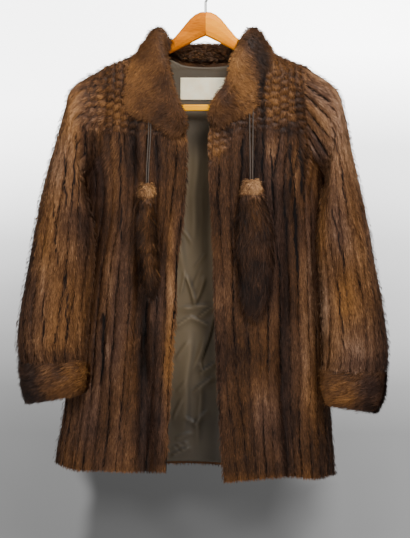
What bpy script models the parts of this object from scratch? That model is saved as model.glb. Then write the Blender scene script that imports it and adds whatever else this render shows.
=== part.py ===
"""A hip-length fur jacket hanging open on a wooden hanger.

Metres, +Z up, front towards -Y, with the origin where the hook bears on its rail.
Left and right are as seen from the front.  The tables are in millimetres, and "down"
is always the distance below the origin.

The jacket's body is one smooth form: at each height a flat lens in plan, rounded over
at the shoulders.  Every panel is a patch of that form between four edges, and the
sleeves, cuffs and collar start from the same edges, so that neighbours share a seam.
"""

import math
from collections import namedtuple

import bmesh
import bpy
import numpy as np

MM = 0.001

# Cloth
FUR_WALL = 8 * MM          # skin and flattened pile of a panel
CUFF_WALL = 10 * MM
STRIP_RELIEF = 2.5 * MM    # how far a let-out strip stands above the slits beside it
LINING_WALL = 1.2 * MM
LINING_RAISED = 20 * MM    # between a lining's foot and the hem
LABEL_WALL = 0.8 * MM
LABEL_LEFT, LABEL_RIGHT = -48.5 * MM, 39 * MM
LABEL_TOP, LABEL_FOOT = 194.5 * MM, 237 * MM
SEAM_GAP = 0.4 * MM        # between two pieces at a seam
REST_GAP = 0.4 * MM        # between a piece and what carries it

# Body form
SHOULDER_ROUND = 55 * MM   # height over which the shoulder turns from front to back
LENS_POWER = 2.05
YOKE_ARMHOLE_DOWN = 300 * MM
UNDERARM_DOWN = 385 * MM
STRIPS_FRONT = 11
STRIPS_BACK = 13

# Hanger
WIRE = 5 * MM
HOOK_INSIDE = 17 * MM      # inner radius of the hook
APEX_DOWN = 70 * MM
SOCKET_DEPTH = 24 * MM
BAR_DOWN = 254 * MM
BAR_HEIGHT = 12 * MM
BAR_DEPTH = 9 * MM
BAR_LENGTH = 412 * MM
BAR_BEVEL = 2 * MM

# Ties
CORD = 2.2 * MM

FRONT, BACK = -1, 1
LEFT, RIGHT = -1, 1

BodyRow = namedtuple("BodyRow", "down left right middle front back")
BODY = (
    BodyRow(100, -252, 248, 0, 45, 38),
    BodyRow(200, -250, 246, 0, 47, 39),
    BodyRow(300, -244, 240, 0, 50, 40),
    BodyRow(385, -233, 229, 2, 54, 42),
    BodyRow(470, -238, 231, 8, 57, 43),
    BodyRow(600, -249, 236, 12, 58, 44),
    BodyRow(740, -262, 238, 13, 58, 45),
    BodyRow(836, -271, 239, 13, 58, 46),
    BodyRow(880, -279, 243, 13, 58, 46),
    BodyRow(930, -287, 246, 13, 58, 46),
    BodyRow(970, -291, 248, 13, 58, 46),
)

ShoulderRow = namedtuple("ShoulderRow", "out down")
SHOULDER = (
    ShoulderRow(0, 92),
    ShoulderRow(50, 110),
    ShoulderRow(86, 129),
    ShoulderRow(105, 139),
    ShoulderRow(124, 147),
    ShoulderRow(155, 162),
    ShoulderRow(190, 175),
    ShoulderRow(230, 190),
    ShoulderRow(290, 215),
)

# Where the neck seam runs down each front, and then each front edge.
EdgeRow = namedtuple("EdgeRow", "down across")
NECK = {
    LEFT: (
        EdgeRow(129, -86),
        EdgeRow(150, -85),
        EdgeRow(175, -81),
        EdgeRow(205, -75.5),
        EdgeRow(232, -68.5),
        EdgeRow(256, -58),
        EdgeRow(276, -48),
        EdgeRow(292, -40.5),
        EdgeRow(303, -36.5),
    ),
    RIGHT: (
        EdgeRow(129, 86),
        EdgeRow(150, 71),
        EdgeRow(165, 62),
        EdgeRow(190, 57),
        EdgeRow(215, 48),
        EdgeRow(234, 35),
        EdgeRow(252, 22),
        EdgeRow(272, 14),
        EdgeRow(292, 8),
        EdgeRow(370, 7),
    ),
}
FRONT_EDGE = {
    LEFT: (
        EdgeRow(303, -36.5),
        EdgeRow(393, -37),
        EdgeRow(459, -41),
        EdgeRow(526, -51),
        EdgeRow(640, -56),
        EdgeRow(710, -62),
        EdgeRow(838, -69),
        EdgeRow(946, -74),
    ),
    RIGHT: (
        EdgeRow(370, 7),
        EdgeRow(459, 11),
        EdgeRow(526, 15),
        EdgeRow(640, 17),
        EdgeRow(710, 20),
        EdgeRow(838, 26),
        EdgeRow(965, 35),
    ),
}
BACK_NECK_DOWN = 165 * MM

# Yoke seams and hems, by share of the way from the front edge (or left side) to the side.
LineRow = namedtuple("LineRow", "share down")
YOKE_SEAM = {
    LEFT: (LineRow(0, 303), LineRow(0.5, 303), LineRow(1, 300)),
    RIGHT: (LineRow(0, 370), LineRow(0.18, 332), LineRow(0.33, 308), LineRow(1, 300)),
}
HEM = {
    LEFT: (LineRow(0, 946), LineRow(0.6, 944), LineRow(0.88, 941), LineRow(1, 930)),
    RIGHT: (LineRow(0, 965), LineRow(0.6, 956), LineRow(0.85, 960), LineRow(1, 953)),
}
BACK_HEM = (
    LineRow(0, 930),
    LineRow(0.12, 938),
    LineRow(0.5, 937),
    LineRow(0.88, 950),
    LineRow(1, 953),
)

# Rows of each panel, as shares of its side edge; the yoke's are closest over the shoulder.
YOKE_ROWS = (0, 0.058, 0.218, 0.436, 0.62, 0.81, 1)
ARMHOLE_DOWNS = (300, 325, 348, 368)
SIDE_ROWS = (0, 0.13, 0.28, 0.44, 0.62, 0.8, 0.93, 1)

ArmholeRow = namedtuple("ArmholeRow", "down out")
ARMHOLE = (
    ArmholeRow(175, 190),
    ArmholeRow(210, 188),
    ArmholeRow(250, 188),
    ArmholeRow(290, 190),
    ArmholeRow(325, 196),
    ArmholeRow(348, 205),
    ArmholeRow(368, 217),
)

# Sleeve sections: the point on the outline, the point next to the body, the middle's
# distance behind the hanging plane and the half depth.
SleeveRow = namedtuple("SleeveRow", "outer outer_down inner inner_down middle half")
SLEEVE = {
    LEFT: (
        SleeveRow(-208, 186.5, -236, 389, 0, 45),
        SleeveRow(-227, 198, -237.5, 395, -5, 47),
        SleeveRow(-246, 210.5, -238, 402, -12, 49),
        SleeveRow(-258.5, 227.5, -237, 411, -19, 50),
        SleeveRow(-264, 252.5, -234, 423, -27, 49),
        SleeveRow(-272.5, 283, -230.5, 438, -33, 48),
        SleeveRow(-283, 322.5, -225.5, 458, -39, 46),
        SleeveRow(-295.5, 364.5, -220.5, 484, -44, 43),
        SleeveRow(-309, 421.5, -216.6, 520, -47, 41),
        SleeveRow(-322, 488, -215.7, 562, -48, 39),
        SleeveRow(-334.5, 560, -217.6, 608, -48, 38),
        SleeveRow(-347, 630.5, -223, 657, -48, 38),
        SleeveRow(-353.5, 687.5, -227, 700, -48, 39),
        SleeveRow(-353.5, 720, -226, 721, -48, 38),
        SleeveRow(-347, 735, -227, 733, -48, 34),
    ),
    RIGHT: (
        SleeveRow(206, 188, 232, 390, 0, 45),
        SleeveRow(224, 199.5, 233.2, 396, -5, 47),
        SleeveRow(241, 213.5, 233.5, 403, -12, 49),
        SleeveRow(253.5, 231.5, 232.5, 412, -19, 50),
        SleeveRow(260, 256, 229.5, 424, -27, 49),
        SleeveRow(267, 288.5, 226, 442, -33, 48),
        SleeveRow(273.5, 326.5, 222.3, 465, -39, 46),
        SleeveRow(283, 370, 219.5, 492, -44, 43),
        SleeveRow(295.5, 427, 217.5, 530, -47, 41),
        SleeveRow(309, 492, 217.5, 573.5, -48, 39),
        SleeveRow(321, 564, 219.5, 621, -48, 38),
        SleeveRow(334.5, 634, 222.3, 668.5, -48, 38),
        SleeveRow(343, 697, 224.2, 706.5, -48, 39),
        SleeveRow(344, 729, 224.2, 731, -48, 38),
        SleeveRow(337, 752, 224.2, 748, -48, 34),
    ),
}
ARMHOLE_HALF = 42 * MM     # half depth of the armhole, to turn its points into angles
SEAM_FADE = (0.7, 0.45, 0.25, 0.1)  # share of the armhole's own outline kept by each row

CUFF = {
    LEFT: (
        SleeveRow(-350, 750, -224, 746, -48, 37),
        SleeveRow(-347, 782, -223, 768, -48, 38),
        SleeveRow(-339, 809, -227, 788, -48, 35),
    ),
    RIGHT: (
        SleeveRow(339.5, 767, 222, 766, -48, 37),
        SleeveRow(339, 801, 223, 792, -48, 38),
        SleeveRow(331.5, 832, 229, 812, -48, 35),
    ),
}

# Collar sections, centre back to front end: the neck seam, the outer edge, how far the
# collar stands inside the seam, and its thickness at the fold, halfway and at the edge.
CollarRow = namedtuple("CollarRow", "face neck neck_down edge edge_down inside fold halfway rim")
COLLAR = {
    LEFT: (
        CollarRow(BACK, 0, 165, 0, 228, 34, 14, 14, 9),
        CollarRow(BACK, -34, 163, -40, 227, 33, 14, 14, 9),
        CollarRow(BACK, -62, 153, -80, 217, 27, 17, 14, 9),
        CollarRow(BACK, -79, 139, -110, 192, 18, 21, 15, 9),
        CollarRow(BACK, -85, 131, -119, 162, 14, 24, 16, 9),
        CollarRow(FRONT, -86, 129.2, -122, 146.8, 12, 25, 17, 9),
        CollarRow(FRONT, -86, 137, -130, 160, 11, 26, 18, 9),
        CollarRow(FRONT, -85, 150, -138, 180, 10, 27, 18, 9),
        CollarRow(FRONT, -81, 175, -144, 204, 10, 27, 18, 9),
        CollarRow(FRONT, -75.5, 205, -146, 236, 10, 27, 18, 9),
        CollarRow(FRONT, -68.5, 232, -141, 261, 10, 26, 17, 9),
        CollarRow(FRONT, -58, 256, -122, 275, 10, 25, 16, 9),
        CollarRow(FRONT, -48, 276, -98, 285, 10, 23, 15, 9),
        CollarRow(FRONT, -40.5, 292, -70, 302, 9, 17, 13, 8),
    ),
    RIGHT: (
        CollarRow(BACK, 0, 165, 0, 228, 34, 14, 14, 9),
        CollarRow(BACK, 34, 163, 40, 227, 33, 14, 14, 9),
        CollarRow(BACK, 62, 153, 80, 217, 27, 17, 14, 9),
        CollarRow(BACK, 79, 139, 110, 192, 18, 21, 15, 9),
        CollarRow(BACK, 85, 131, 119, 162, 14, 24, 16, 9),
        CollarRow(FRONT, 86, 129.2, 122, 146.8, 12, 25, 17, 9),
        CollarRow(FRONT, 80, 138, 121, 160, 11, 27, 19, 10),
        CollarRow(FRONT, 71, 150, 117, 176, 11, 28, 20, 10),
        CollarRow(FRONT, 61, 168, 109, 194, 10, 28, 20, 10),
        CollarRow(FRONT, 55.5, 195, 104, 216, 10, 28, 20, 10),
        CollarRow(FRONT, 46, 219, 96, 240, 10, 27, 19, 10),
        CollarRow(FRONT, 35, 234, 84, 260, 10, 26, 18, 9),
        CollarRow(FRONT, 22, 252, 60, 274, 10, 24, 16, 9),
        CollarRow(FRONT, 14, 272, 34, 284, 9, 18, 13, 8),
    ),
}
COLLAR_OVERLAP = 3 * MM    # how deep the collar's blank goes into the yoke before it is cut
COLLAR_GAP = 0.7 * MM

# Hanger arm: its upper and lower outline and half thickness, out from the middle.
ArmRow = namedtuple("ArmRow", "out top bottom half")
ARM = (
    ArmRow(0, 70, 117, 8),
    ArmRow(10, 71, 121.5, 8),
    ArmRow(20, 75.5, 126.5, 8),
    ArmRow(30, 84, 131.5, 8),
    ArmRow(44, 101, 138.5, 8),
    ArmRow(57, 116.5, 145.2, 7.5),
    ArmRow(68, 127.8, 151, 7),
    ArmRow(86, 142, 160, 7),
    ArmRow(105, 151, 169, 7),
    ArmRow(124, 157.1, 178, 7),
    ArmRow(155, 171.6, 194, 7),
    ArmRow(182, 182.5, 212, 7),
    ArmRow(196, 191, 236, 7),
    ArmRow(203, 198, 262, 7.5),
    ArmRow(212, 207, 265, 7.5),
    ArmRow(218, 220, 254, 5.5),
)

# Pendants: sections from the top, with half width and half depth.
PendantRow = namedtuple("PendantRow", "down across half_width half_depth")
PENDANT_CAP = {
    LEFT: (
        PendantRow(400.5, -110.5, 7, 5),
        PendantRow(405, -111, 14, 9),
        PendantRow(414, -112, 16.5, 10.5),
        PendantRow(426, -112, 16, 10.5),
    ),
    RIGHT: (
        PendantRow(393, 86.5, 10, 5),
        PendantRow(397, 86.5, 19, 9),
        PendantRow(407, 86.5, 22.5, 11),
        PendantRow(420, 87, 22, 11),
    ),
}
PENDANT_TAIL = {
    LEFT: (
        PendantRow(426.4, -112, 15, 10),
        PendantRow(450, -110.5, 19, 12),
        PendantRow(490, -109, 22.5, 13),
        PendantRow(535, -109, 22.5, 13),
        PendantRow(572, -109.5, 18, 11),
        PendantRow(592, -110, 11, 7),
        PendantRow(600, -110, 4, 3),
    ),
    RIGHT: (
        PendantRow(420.4, 87, 21, 10.5),
        PendantRow(450, 89, 28, 13),
        PendantRow(495, 92, 32, 14),
        PendantRow(550, 94, 33, 14),
        PendantRow(600, 94.5, 27, 12),
        PendantRow(628, 94.5, 17, 8),
        PendantRow(638, 94.5, 6, 3.5),
    ),
}
PENDANT_CLEAR = 5 * MM     # between a pendant's back and the strips behind it

# Ties: where each strand leaves the collar's edge and where it meets its pendant.
TieRow = namedtuple("TieRow", "name side top_down top_across foot_across")
TIES = (
    TieRow("tie_left_outer", LEFT, 281.9, -107.5, -111.5),
    TieRow("tie_left_inner", LEFT, 283.4, -103.5, -108),
    TieRow("tie_right_inner", RIGHT, 261.4, 83.5, 84.5),
    TieRow("tie_right_outer", RIGHT, 252.6, 90, 89),
)
TIE_CLEAR = 2.5 * MM       # between a tie's middle and the strips where it leaves the collar


def smooth(table, column, key="down"):
    """A function that reads a column of a table, in metres, on a smooth curve."""
    places = np.array([getattr(row, key) for row in table], float)
    places *= 1 if key == "share" else MM
    values = np.array([getattr(row, column) for row in table], float) * MM
    slopes = np.gradient(values, places)

    def read(at):
        at = np.clip(np.asarray(at, float), places[0], places[-1])
        row = np.clip(np.searchsorted(places, at) - 1, 0, len(places) - 2)
        step = places[row + 1] - places[row]
        t = (at - places[row]) / step
        return (
            (1 + 2 * t) * (1 - t) ** 2 * values[row]
            + t * (1 - t) ** 2 * step * slopes[row]
            + t**2 * (3 - 2 * t) * values[row + 1]
            - t**2 * (1 - t) * step * slopes[row + 1]
        )

    return read


body_side = {LEFT: smooth(BODY, "left"), RIGHT: smooth(BODY, "right")}
body_middle = smooth(BODY, "middle")
body_half = {FRONT: smooth(BODY, "front"), BACK: smooth(BODY, "back")}
shoulder_down = smooth(SHOULDER, "down", key="out")
armhole_out = smooth(ARMHOLE, "out")
neck_across = {side: smooth(NECK[side], "across") for side in NECK}
edge_across = {side: smooth(FRONT_EDGE[side], "across") for side in FRONT_EDGE}
yoke_seam_down = {side: smooth(YOKE_SEAM[side], "down", key="share") for side in YOKE_SEAM}
hem_down = {side: smooth(HEM[side], "down", key="share") for side in HEM}
back_hem_down = smooth(BACK_HEM, "down", key="share")


# The body's form


def signed_power(value, power):
    return np.sign(value) * np.abs(value) ** power


def openness(across, down):
    """How full the body is at a place on its outline: 1 in the middle, 0 at the edge."""
    left, right = body_side[LEFT](down), body_side[RIGHT](down)
    aside = (across - (left + right) / 2) / ((right - left) / 2)
    below = down - shoulder_down(np.abs(across))
    up = np.clip((SHOULDER_ROUND - below) / SHOULDER_ROUND, 0, None)
    lens = 1 - np.abs(aside) ** LENS_POWER
    return lens * signed_power(1 - up**2, LENS_POWER / 2)


def on_body(outline, face):
    """Points of the outer surface over an (across, down) outline."""
    across, down = outline[..., 0], outline[..., 1]
    full = np.clip(openness(across, down), 0, None) ** (1 / LENS_POWER)
    depth = body_middle(down) + face * body_half[face](down) * full
    return np.stack([across, depth, -down], axis=-1)


def body_normals(points, face):
    """Unit normals that point out of the body, from the slope of its form."""

    def outside(places):
        down = -places[..., 2]
        depth = (places[..., 1] - body_middle(down)) / body_half[face](down)
        return np.abs(depth) ** LENS_POWER - openness(places[..., 0], down)

    step = 1e-5
    slopes = []
    for axis in range(3):
        shift = np.zeros(3)
        shift[axis] = step
        slopes.append(outside(points + shift) - outside(points - shift))
    return unit(np.stack(slopes, axis=-1))


def unit(vectors):
    return vectors / np.linalg.norm(vectors, axis=-1, keepdims=True)


def evenly(outline, face, count):
    """Points of an outline curve spaced evenly along the cloth that lies over it."""
    steps = np.linalg.norm(np.diff(on_body(outline, face), axis=0), axis=1)
    reach = np.concatenate([[0], np.cumsum(steps)])
    wanted = np.linspace(0, reach[-1], count)
    return np.stack([np.interp(wanted, reach, outline[:, i]) for i in (0, 1)], axis=1)


def towards_side(start, end, down_of):
    """A fine curve from one place across to another, finest where the form turns away."""
    share = np.sin(np.linspace(0, math.pi / 2, 240))
    return np.stack([start + (end - start) * share, down_of(share)], axis=1)


def patch(top, bottom, start, end):
    """A grid of outline points between four edge curves that meet at their ends."""
    us = np.linspace(0, 1, len(top))[None, :, None]
    vs = np.linspace(0, 1, len(start))[:, None, None]
    rims = (1 - vs) * top[None] + vs * bottom[None]
    sides = (1 - us) * start[:, None] + us * end[:, None]
    corners = (1 - vs) * ((1 - us) * top[0] + us * top[-1])
    corners = corners + vs * ((1 - us) * bottom[0] + us * bottom[-1])
    return rims + sides - corners


def spread(shares, first, last):
    return first + (last - first) * np.asarray(shares, float)


# Solids


def material(name, colour, roughness, metallic=0.0):
    made = bpy.data.materials.get(name)
    if made is None:
        made = bpy.data.materials.new(name)
        made.use_nodes = True
        shader = made.node_tree.nodes["Principled BSDF"]
        shader.inputs["Base Color"].default_value = (*colour, 1)
        shader.inputs["Roughness"].default_value = roughness
        shader.inputs["Metallic"].default_value = metallic
    return made


def fur():
    return material("fur", (0.13, 0.065, 0.03), 0.7)


def plush():
    return material("plush", (0.2, 0.095, 0.04), 0.75)


def satin():
    return material("satin", (0.1, 0.085, 0.065), 0.4)


def tape():
    return material("tape", (0.6, 0.57, 0.5), 0.8)


def braid():
    return material("braid", (0.12, 0.09, 0.07), 0.7)


def varnished_wood():
    return material("varnished_wood", (0.8, 0.35, 0.06), 0.25)


def steel():
    return material("steel", (0.7, 0.7, 0.7), 0.25, 1.0)


def add_object(name, data, finish, collection=None):
    made = bpy.data.objects.new(name, data)
    data.materials.append(finish)
    (collection or bpy.context.scene.collection).objects.link(made)
    return made


def add_mesh(name, points, faces, finish):
    """A closed mesh object from points and faces, smooth but for its sharp rims."""
    mesh = bpy.data.meshes.new(name)
    bm = bmesh.new()
    corners = [bm.verts.new(point) for point in points]
    for face in faces:
        bm.faces.new([corners[i] for i in face])
    bmesh.ops.recalc_face_normals(bm, faces=bm.faces)
    bm.to_mesh(mesh)
    bm.free()
    mesh.shade_smooth()
    mesh.set_sharp_from_angle(angle=math.radians(50))
    return add_object(name, mesh, finish)


def drawn_in(grid, by, tube=False):
    """The grid with its rims moved in by half a seam's gap."""
    grid = grid.copy()
    rims = [(grid[0], grid[1]), (grid[-1], grid[-2])]
    if not tube:
        rims += [(grid[:, 0], grid[:, 1]), (grid[:, -1], grid[:, -2])]
    for rim, beside in rims:
        rim += unit(beside - rim) * by
    return grid


def add_cloth(name, outer, inner, finish, tube=False, gap=SEAM_GAP):
    """A wall of cloth between two grids of points, closed at its rims."""
    outer = drawn_in(outer, gap / 2, tube)
    inner = drawn_in(inner, gap / 2, tube)
    rows, columns = outer.shape[:2]
    points = np.concatenate([outer.reshape(-1, 3), inner.reshape(-1, 3)])
    behind = rows * columns

    def at(row, column):
        return row * columns + column % columns

    faces = []
    spans = columns if tube else columns - 1
    for row in range(rows - 1):
        for column in range(spans):
            near = [
                at(row, column),
                at(row, column + 1),
                at(row + 1, column + 1),
                at(row + 1, column),
            ]
            for i, j, k in ((0, 1, 2), (0, 2, 3)):
                faces.append([near[i], near[j], near[k]])
                faces.append([near[k] + behind, near[j] + behind, near[i] + behind])
    for row in (0, rows - 1):
        for column in range(spans):
            a, b = at(row, column), at(row, column + 1)
            faces += [[a, b, b + behind], [a, b + behind, a + behind]]
    if not tube:
        for column in (0, columns - 1):
            for row in range(rows - 1):
                a, b = at(row, column), at(row + 1, column)
                faces += [[a, b, b + behind], [a, b + behind, a + behind]]
    return add_mesh(name, points, faces, finish)


def add_loft(name, rings, finish):
    """A solid through closed rings of points, capped at both ends."""
    count = len(rings[0])
    faces = [list(range(count)), [(len(rings) - 1) * count + i for i in range(count)]]
    for row in range(len(rings) - 1):
        for i in range(count):
            a, b = row * count + i, row * count + (i + 1) % count
            faces.append([a, b, b + count, a + count])
    return add_mesh(name, np.concatenate(rings), faces, finish)


def cut(target, cutter):
    """Removes a helper's shape from a piece, and keeps the helper out of the model."""
    cutter.hide_render = True
    cutter.display_type = "WIRE"
    cutter.hide_set(True)
    boolean = target.modifiers.new("cut by " + cutter.name, "BOOLEAN")
    boolean.operation = "DIFFERENCE"
    boolean.solver = "EXACT"
    boolean.object = cutter


# Outlines of the panels, as (across, down)


def side_points(side):
    """The armhole below the yoke seam and then the side seam, down to the hem."""
    upper = np.array(ARMHOLE_DOWNS) * MM
    lower = spread(SIDE_ROWS, UNDERARM_DOWN, hem_down[side](1))
    arm = np.stack([side * armhole_out(upper), upper], axis=1)
    seam = np.stack([body_side[side](lower), lower], axis=1)
    return np.concatenate([arm, seam])


def armhole_points(side):
    """The armhole beside the yoke, from the shoulder down."""
    downs = spread(YOKE_ROWS, shoulder_down(armhole_out(0)), YOKE_ARMHOLE_DOWN)
    return np.stack([side * armhole_out(downs), downs], axis=1)


def yoke_seam(side, columns):
    """The seam below a front yoke, front edge to armhole."""
    start = neck_across[side](yoke_seam_down[side](0))
    line = towards_side(start, armhole_points(side)[-1, 0], yoke_seam_down[side])
    return evenly(line, FRONT, columns)


def yoke_outline(side, columns):
    """A front yoke, shoulder seam to yoke seam and neck to armhole."""
    neck_point = np.array([neck_across[side](0), shoulder_down(abs(neck_across[side](0)))])
    armhole = armhole_points(side)
    across = np.linspace(neck_point[0], armhole[0, 0], columns)
    shoulder = np.stack([across, shoulder_down(np.abs(across))], axis=1)
    downs = spread((0, 0.1, 0.26, 0.45, 0.63, 0.82, 1), neck_point[1], yoke_seam_down[side](0))
    neck = np.stack([neck_across[side](downs), downs], axis=1)
    neck[0] = neck_point
    return patch(shoulder, yoke_seam(side, columns), neck, armhole)


def front_outline(side, columns):
    """A front below its yoke."""
    top = yoke_seam(side, columns)
    side_seam = side_points(side)
    hem_start = edge_across[side](hem_down[side](0))
    hem = towards_side(hem_start, side_seam[-1, 0], hem_down[side])
    shares = (side_seam[:, 1] - side_seam[0, 1]) / (side_seam[-1, 1] - side_seam[0, 1])
    downs = spread(shares, top[0, 1], hem_down[side](0))
    edge = np.stack([edge_across[side](downs), downs], axis=1)
    edge[0] = top[0]
    return patch(top, evenly(hem, FRONT, columns), edge, side_seam)


def back_neck_down(across):
    """The back yoke's top edge: the shoulder lines, dipping across the neck."""
    neck_half = NECK[RIGHT][0].across * MM
    rise = BACK_NECK_DOWN - shoulder_down(neck_half)
    inside = np.clip(np.abs(across) / neck_half, 0, 1)
    return np.where(
        inside < 1,
        BACK_NECK_DOWN - rise * inside**3,
        shoulder_down(np.abs(across)),
    )


def back_yoke_outline(columns):
    left, right = armhole_points(LEFT), armhole_points(RIGHT)
    across = np.linspace(left[0, 0], right[0, 0], columns)
    top = np.stack([across, back_neck_down(across)], axis=1)
    return patch(top, back_yoke_seam(columns), left, right)


def back_yoke_seam(columns):
    left, right = armhole_points(LEFT)[-1], armhole_points(RIGHT)[-1]
    across = np.linspace(left[0], right[0], 200)
    line = np.stack([across, np.full(200, YOKE_ARMHOLE_DOWN)], axis=1)
    return evenly(line, BACK, columns)


def back_outline(columns):
    left, right = side_points(LEFT), side_points(RIGHT)
    share = (1 - np.cos(np.linspace(0, math.pi, 400))) / 2
    across = left[-1, 0] + (right[-1, 0] - left[-1, 0]) * share
    hem = evenly(np.stack([across, back_hem_down(share)], axis=1), BACK, columns)
    return patch(back_yoke_seam(columns), hem, left, right)


def off_the_hem(outline):
    """An outline whose foot is raised, as a lining's is."""
    outline = outline.copy()
    rise = outline[-2] - outline[-1]
    outline[-1] += rise * LINING_RAISED / np.abs(rise[:, 1:])
    return outline


# Pieces


def add_panel(name, outline, face, relief=0.0, armholes=()):
    """A panel of the body: a wall below its outer surface, ribbed where it has strips."""
    surface = on_body(outline, face)
    normals = body_normals(surface, face)
    outer = surface.copy()
    inner = outer - FUR_WALL * normals
    for side, column, rows in armholes:
        inner[rows, column] = armhole_inside(surface[rows, column], normals[rows, column], side)
    outer[1:-1, 1:-1:2] += relief * normals[1:-1, 1:-1:2]
    outer[-1, 1:-1:2] += relief * normals[-1, 1:-1:2]
    if relief:
        for grid in (outer, inner):
            grid[0, 1:-1:2] = (grid[0, :-2:2] + grid[0, 2::2]) / 2
    add_cloth(name, outer, inner, fur())


def add_inside(name, outline, face, finish, wall, depth):
    """A sheet that lies inside a panel, at a depth below the panel's outer surface."""
    surface = on_body(outline, face)
    normals = body_normals(surface, face)
    outer = surface - depth * normals
    add_cloth(name, outer, outer - wall * normals, finish)


def add_linings():
    """The satin inside the fronts and the back, and the label below the neck."""
    depth = FUR_WALL + SEAM_GAP
    for side, word in ((LEFT, "left"), (RIGHT, "right")):
        outline = off_the_hem(front_outline(side, 2 * STRIPS_FRONT + 1))[:, 2:-2:2]
        add_inside(f"lining_{word}", outline, FRONT, satin(), LINING_WALL, depth)
    upper = back_yoke_outline(STRIPS_BACK + 1)[1:-1]
    lower = off_the_hem(back_outline(2 * STRIPS_BACK + 1))[:, ::2]
    outline = np.concatenate([upper, lower])[:, 1:-1]
    add_inside("lining_back", outline, BACK, satin(), LINING_WALL, depth)

    across, down = np.meshgrid(
        np.linspace(LABEL_LEFT, LABEL_RIGHT, 4), np.linspace(LABEL_TOP, LABEL_FOOT, 2)
    )
    outline = np.stack([across, down], axis=-1)
    add_inside("label", outline, BACK, tape(), LABEL_WALL, depth + LINING_WALL + REST_GAP)


def armhole_frame(side):
    """The armhole's middle and the half axis from there to the shoulder point."""
    top = armhole_points(side)[0]
    bottom = side_points(side)[len(ARMHOLE_DOWNS)]
    high = np.array([top[0], 0, -top[1]])
    low = np.array([bottom[0], body_middle(bottom[1]), -bottom[1]])
    return (high + low) / 2, (high - low) / 2


def armhole_angles(points, side):
    """The angle of each armhole point about the armhole's middle, from the shoulder."""
    middle, axis = armhole_frame(side)
    along = (points - middle) @ axis / (axis @ axis)
    return np.arctan2((points[:, 1] - middle[1]) / ARMHOLE_HALF, along)


def armhole_inside(points, normals, side):
    """Where the walls of body and sleeve meet inside: the mitre between them."""
    _, axis = armhole_frame(side)
    length = np.linalg.norm(axis)
    angles = armhole_angles(points, side)
    round_sleeve = np.cos(angles)[:, None] * axis / length**2
    round_sleeve = round_sleeve + np.sin(angles)[:, None] * np.array([0, 1 / ARMHOLE_HALF, 0])
    mitre = unit(normals + unit(round_sleeve))
    square = np.clip((mitre * normals).sum(axis=1), 0.6, 1)
    return points - FUR_WALL * mitre / square[:, None]


def armhole_ring(side):
    """The armhole seam all round, shoulder, front, underarm, back: outer and inner points."""
    upper, lower = armhole_points(side)[:-1], side_points(side)[: len(ARMHOLE_DOWNS) + 1]
    outline = np.concatenate([upper, lower])
    rings = []
    for face, part in ((FRONT, outline), (BACK, outline[-2:0:-1])):
        points = on_body(part, face)
        rings.append((points, armhole_inside(points, body_normals(points, face), side)))
    outer, inner = (np.concatenate(pair) for pair in zip(*rings))
    along = np.roll(outer, -1, axis=0) - np.roll(outer, 1, axis=0)
    away = unit(np.cross(along, outer - inner))
    away *= side * np.sign(away[:, :1]) * SEAM_GAP
    return outer + away, inner + away


def sleeve_frame(row):
    high = np.array([row.outer, row.middle, -row.outer_down]) * MM
    low = np.array([row.inner, row.middle, -row.inner_down]) * MM
    return (high + low) / 2, (high - low) / 2, row.half * MM


def oval(middle, axis, half, angles, wall=0.0):
    """A section of a sleeve, with its wall taken off all round."""
    length = np.linalg.norm(axis)
    axis = axis * (length - wall) / length
    around = np.cos(angles)[:, None] * axis
    return middle + around + np.sin(angles)[:, None] * np.array([0, half - wall, 0])


def add_sleeve(side, name, cuff_name):
    """A sleeve from its armhole to the cuff seam, and the cuff below it."""
    ring, ring_inside = armhole_ring(side)
    angles = armhole_angles(ring, side)
    middle, axis = armhole_frame(side)
    own_outline = ring - oval(middle, axis, ARMHOLE_HALF, angles)
    outer, inner = [ring], [ring_inside]
    fades = SEAM_FADE + (0,) * (len(SLEEVE[side]) - len(SEAM_FADE))
    for row, fade in zip(SLEEVE[side], fades):
        frame = sleeve_frame(row)
        outer.append(oval(*frame, angles) + fade * own_outline)
        inner.append(oval(*frame, angles, FUR_WALL) + fade * own_outline)
    add_cloth(name, np.array(outer), np.array(inner), fur(), tube=True)

    cuff_outer, cuff_inner = [outer[-1]], [inner[-1]]
    for row in CUFF[side]:
        frame = sleeve_frame(row)
        cuff_outer.append(oval(*frame, angles))
        cuff_inner.append(oval(*frame, angles, CUFF_WALL))
    add_cloth(cuff_name, np.array(cuff_outer), np.array(cuff_inner), plush(), tube=True)


def collar_section(row, side):
    """One section of the collar: up inside the neck seam, over the fold, down to the edge."""
    neck = np.array([row.neck, row.neck_down]) * MM
    edge = np.array([row.edge, row.edge_down]) * MM

    def over(share, above):
        place = on_body(neck + (edge - neck) * share, row.face)
        return place + above * body_normals(place, row.face)

    seam = over(0, 0)
    up = body_normals(seam, row.face)
    away = unit(over(0.05, 0) - seam)
    away = unit(away - (away @ up) * up)
    inside, fold, halfway, rim = (v * MM for v in (row.inside, row.fold, row.halfway, row.rim))
    return np.array(
        [
            seam + away * COLLAR_OVERLAP - up * (FUR_WALL - 1 * MM),
            seam - away * inside * 0.9 - up * (FUR_WALL - 1 * MM),
            seam - away * inside - up * FUR_WALL * 0.4,
            seam - away * inside + up * fold * 0.4,
            seam - away * inside * 0.8 + up * fold * 0.8,
            seam - away * inside * 0.3 + up * fold,
            over(0.15, fold * 0.98),
            over(0.5, halfway),
            over(0.85, rim * 1.15),
            over(1, rim * 0.6),
            over(0.98, -COLLAR_OVERLAP),
            over(0.5, -COLLAR_OVERLAP),
            over(0.15, -COLLAR_OVERLAP),
        ]
    )


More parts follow.
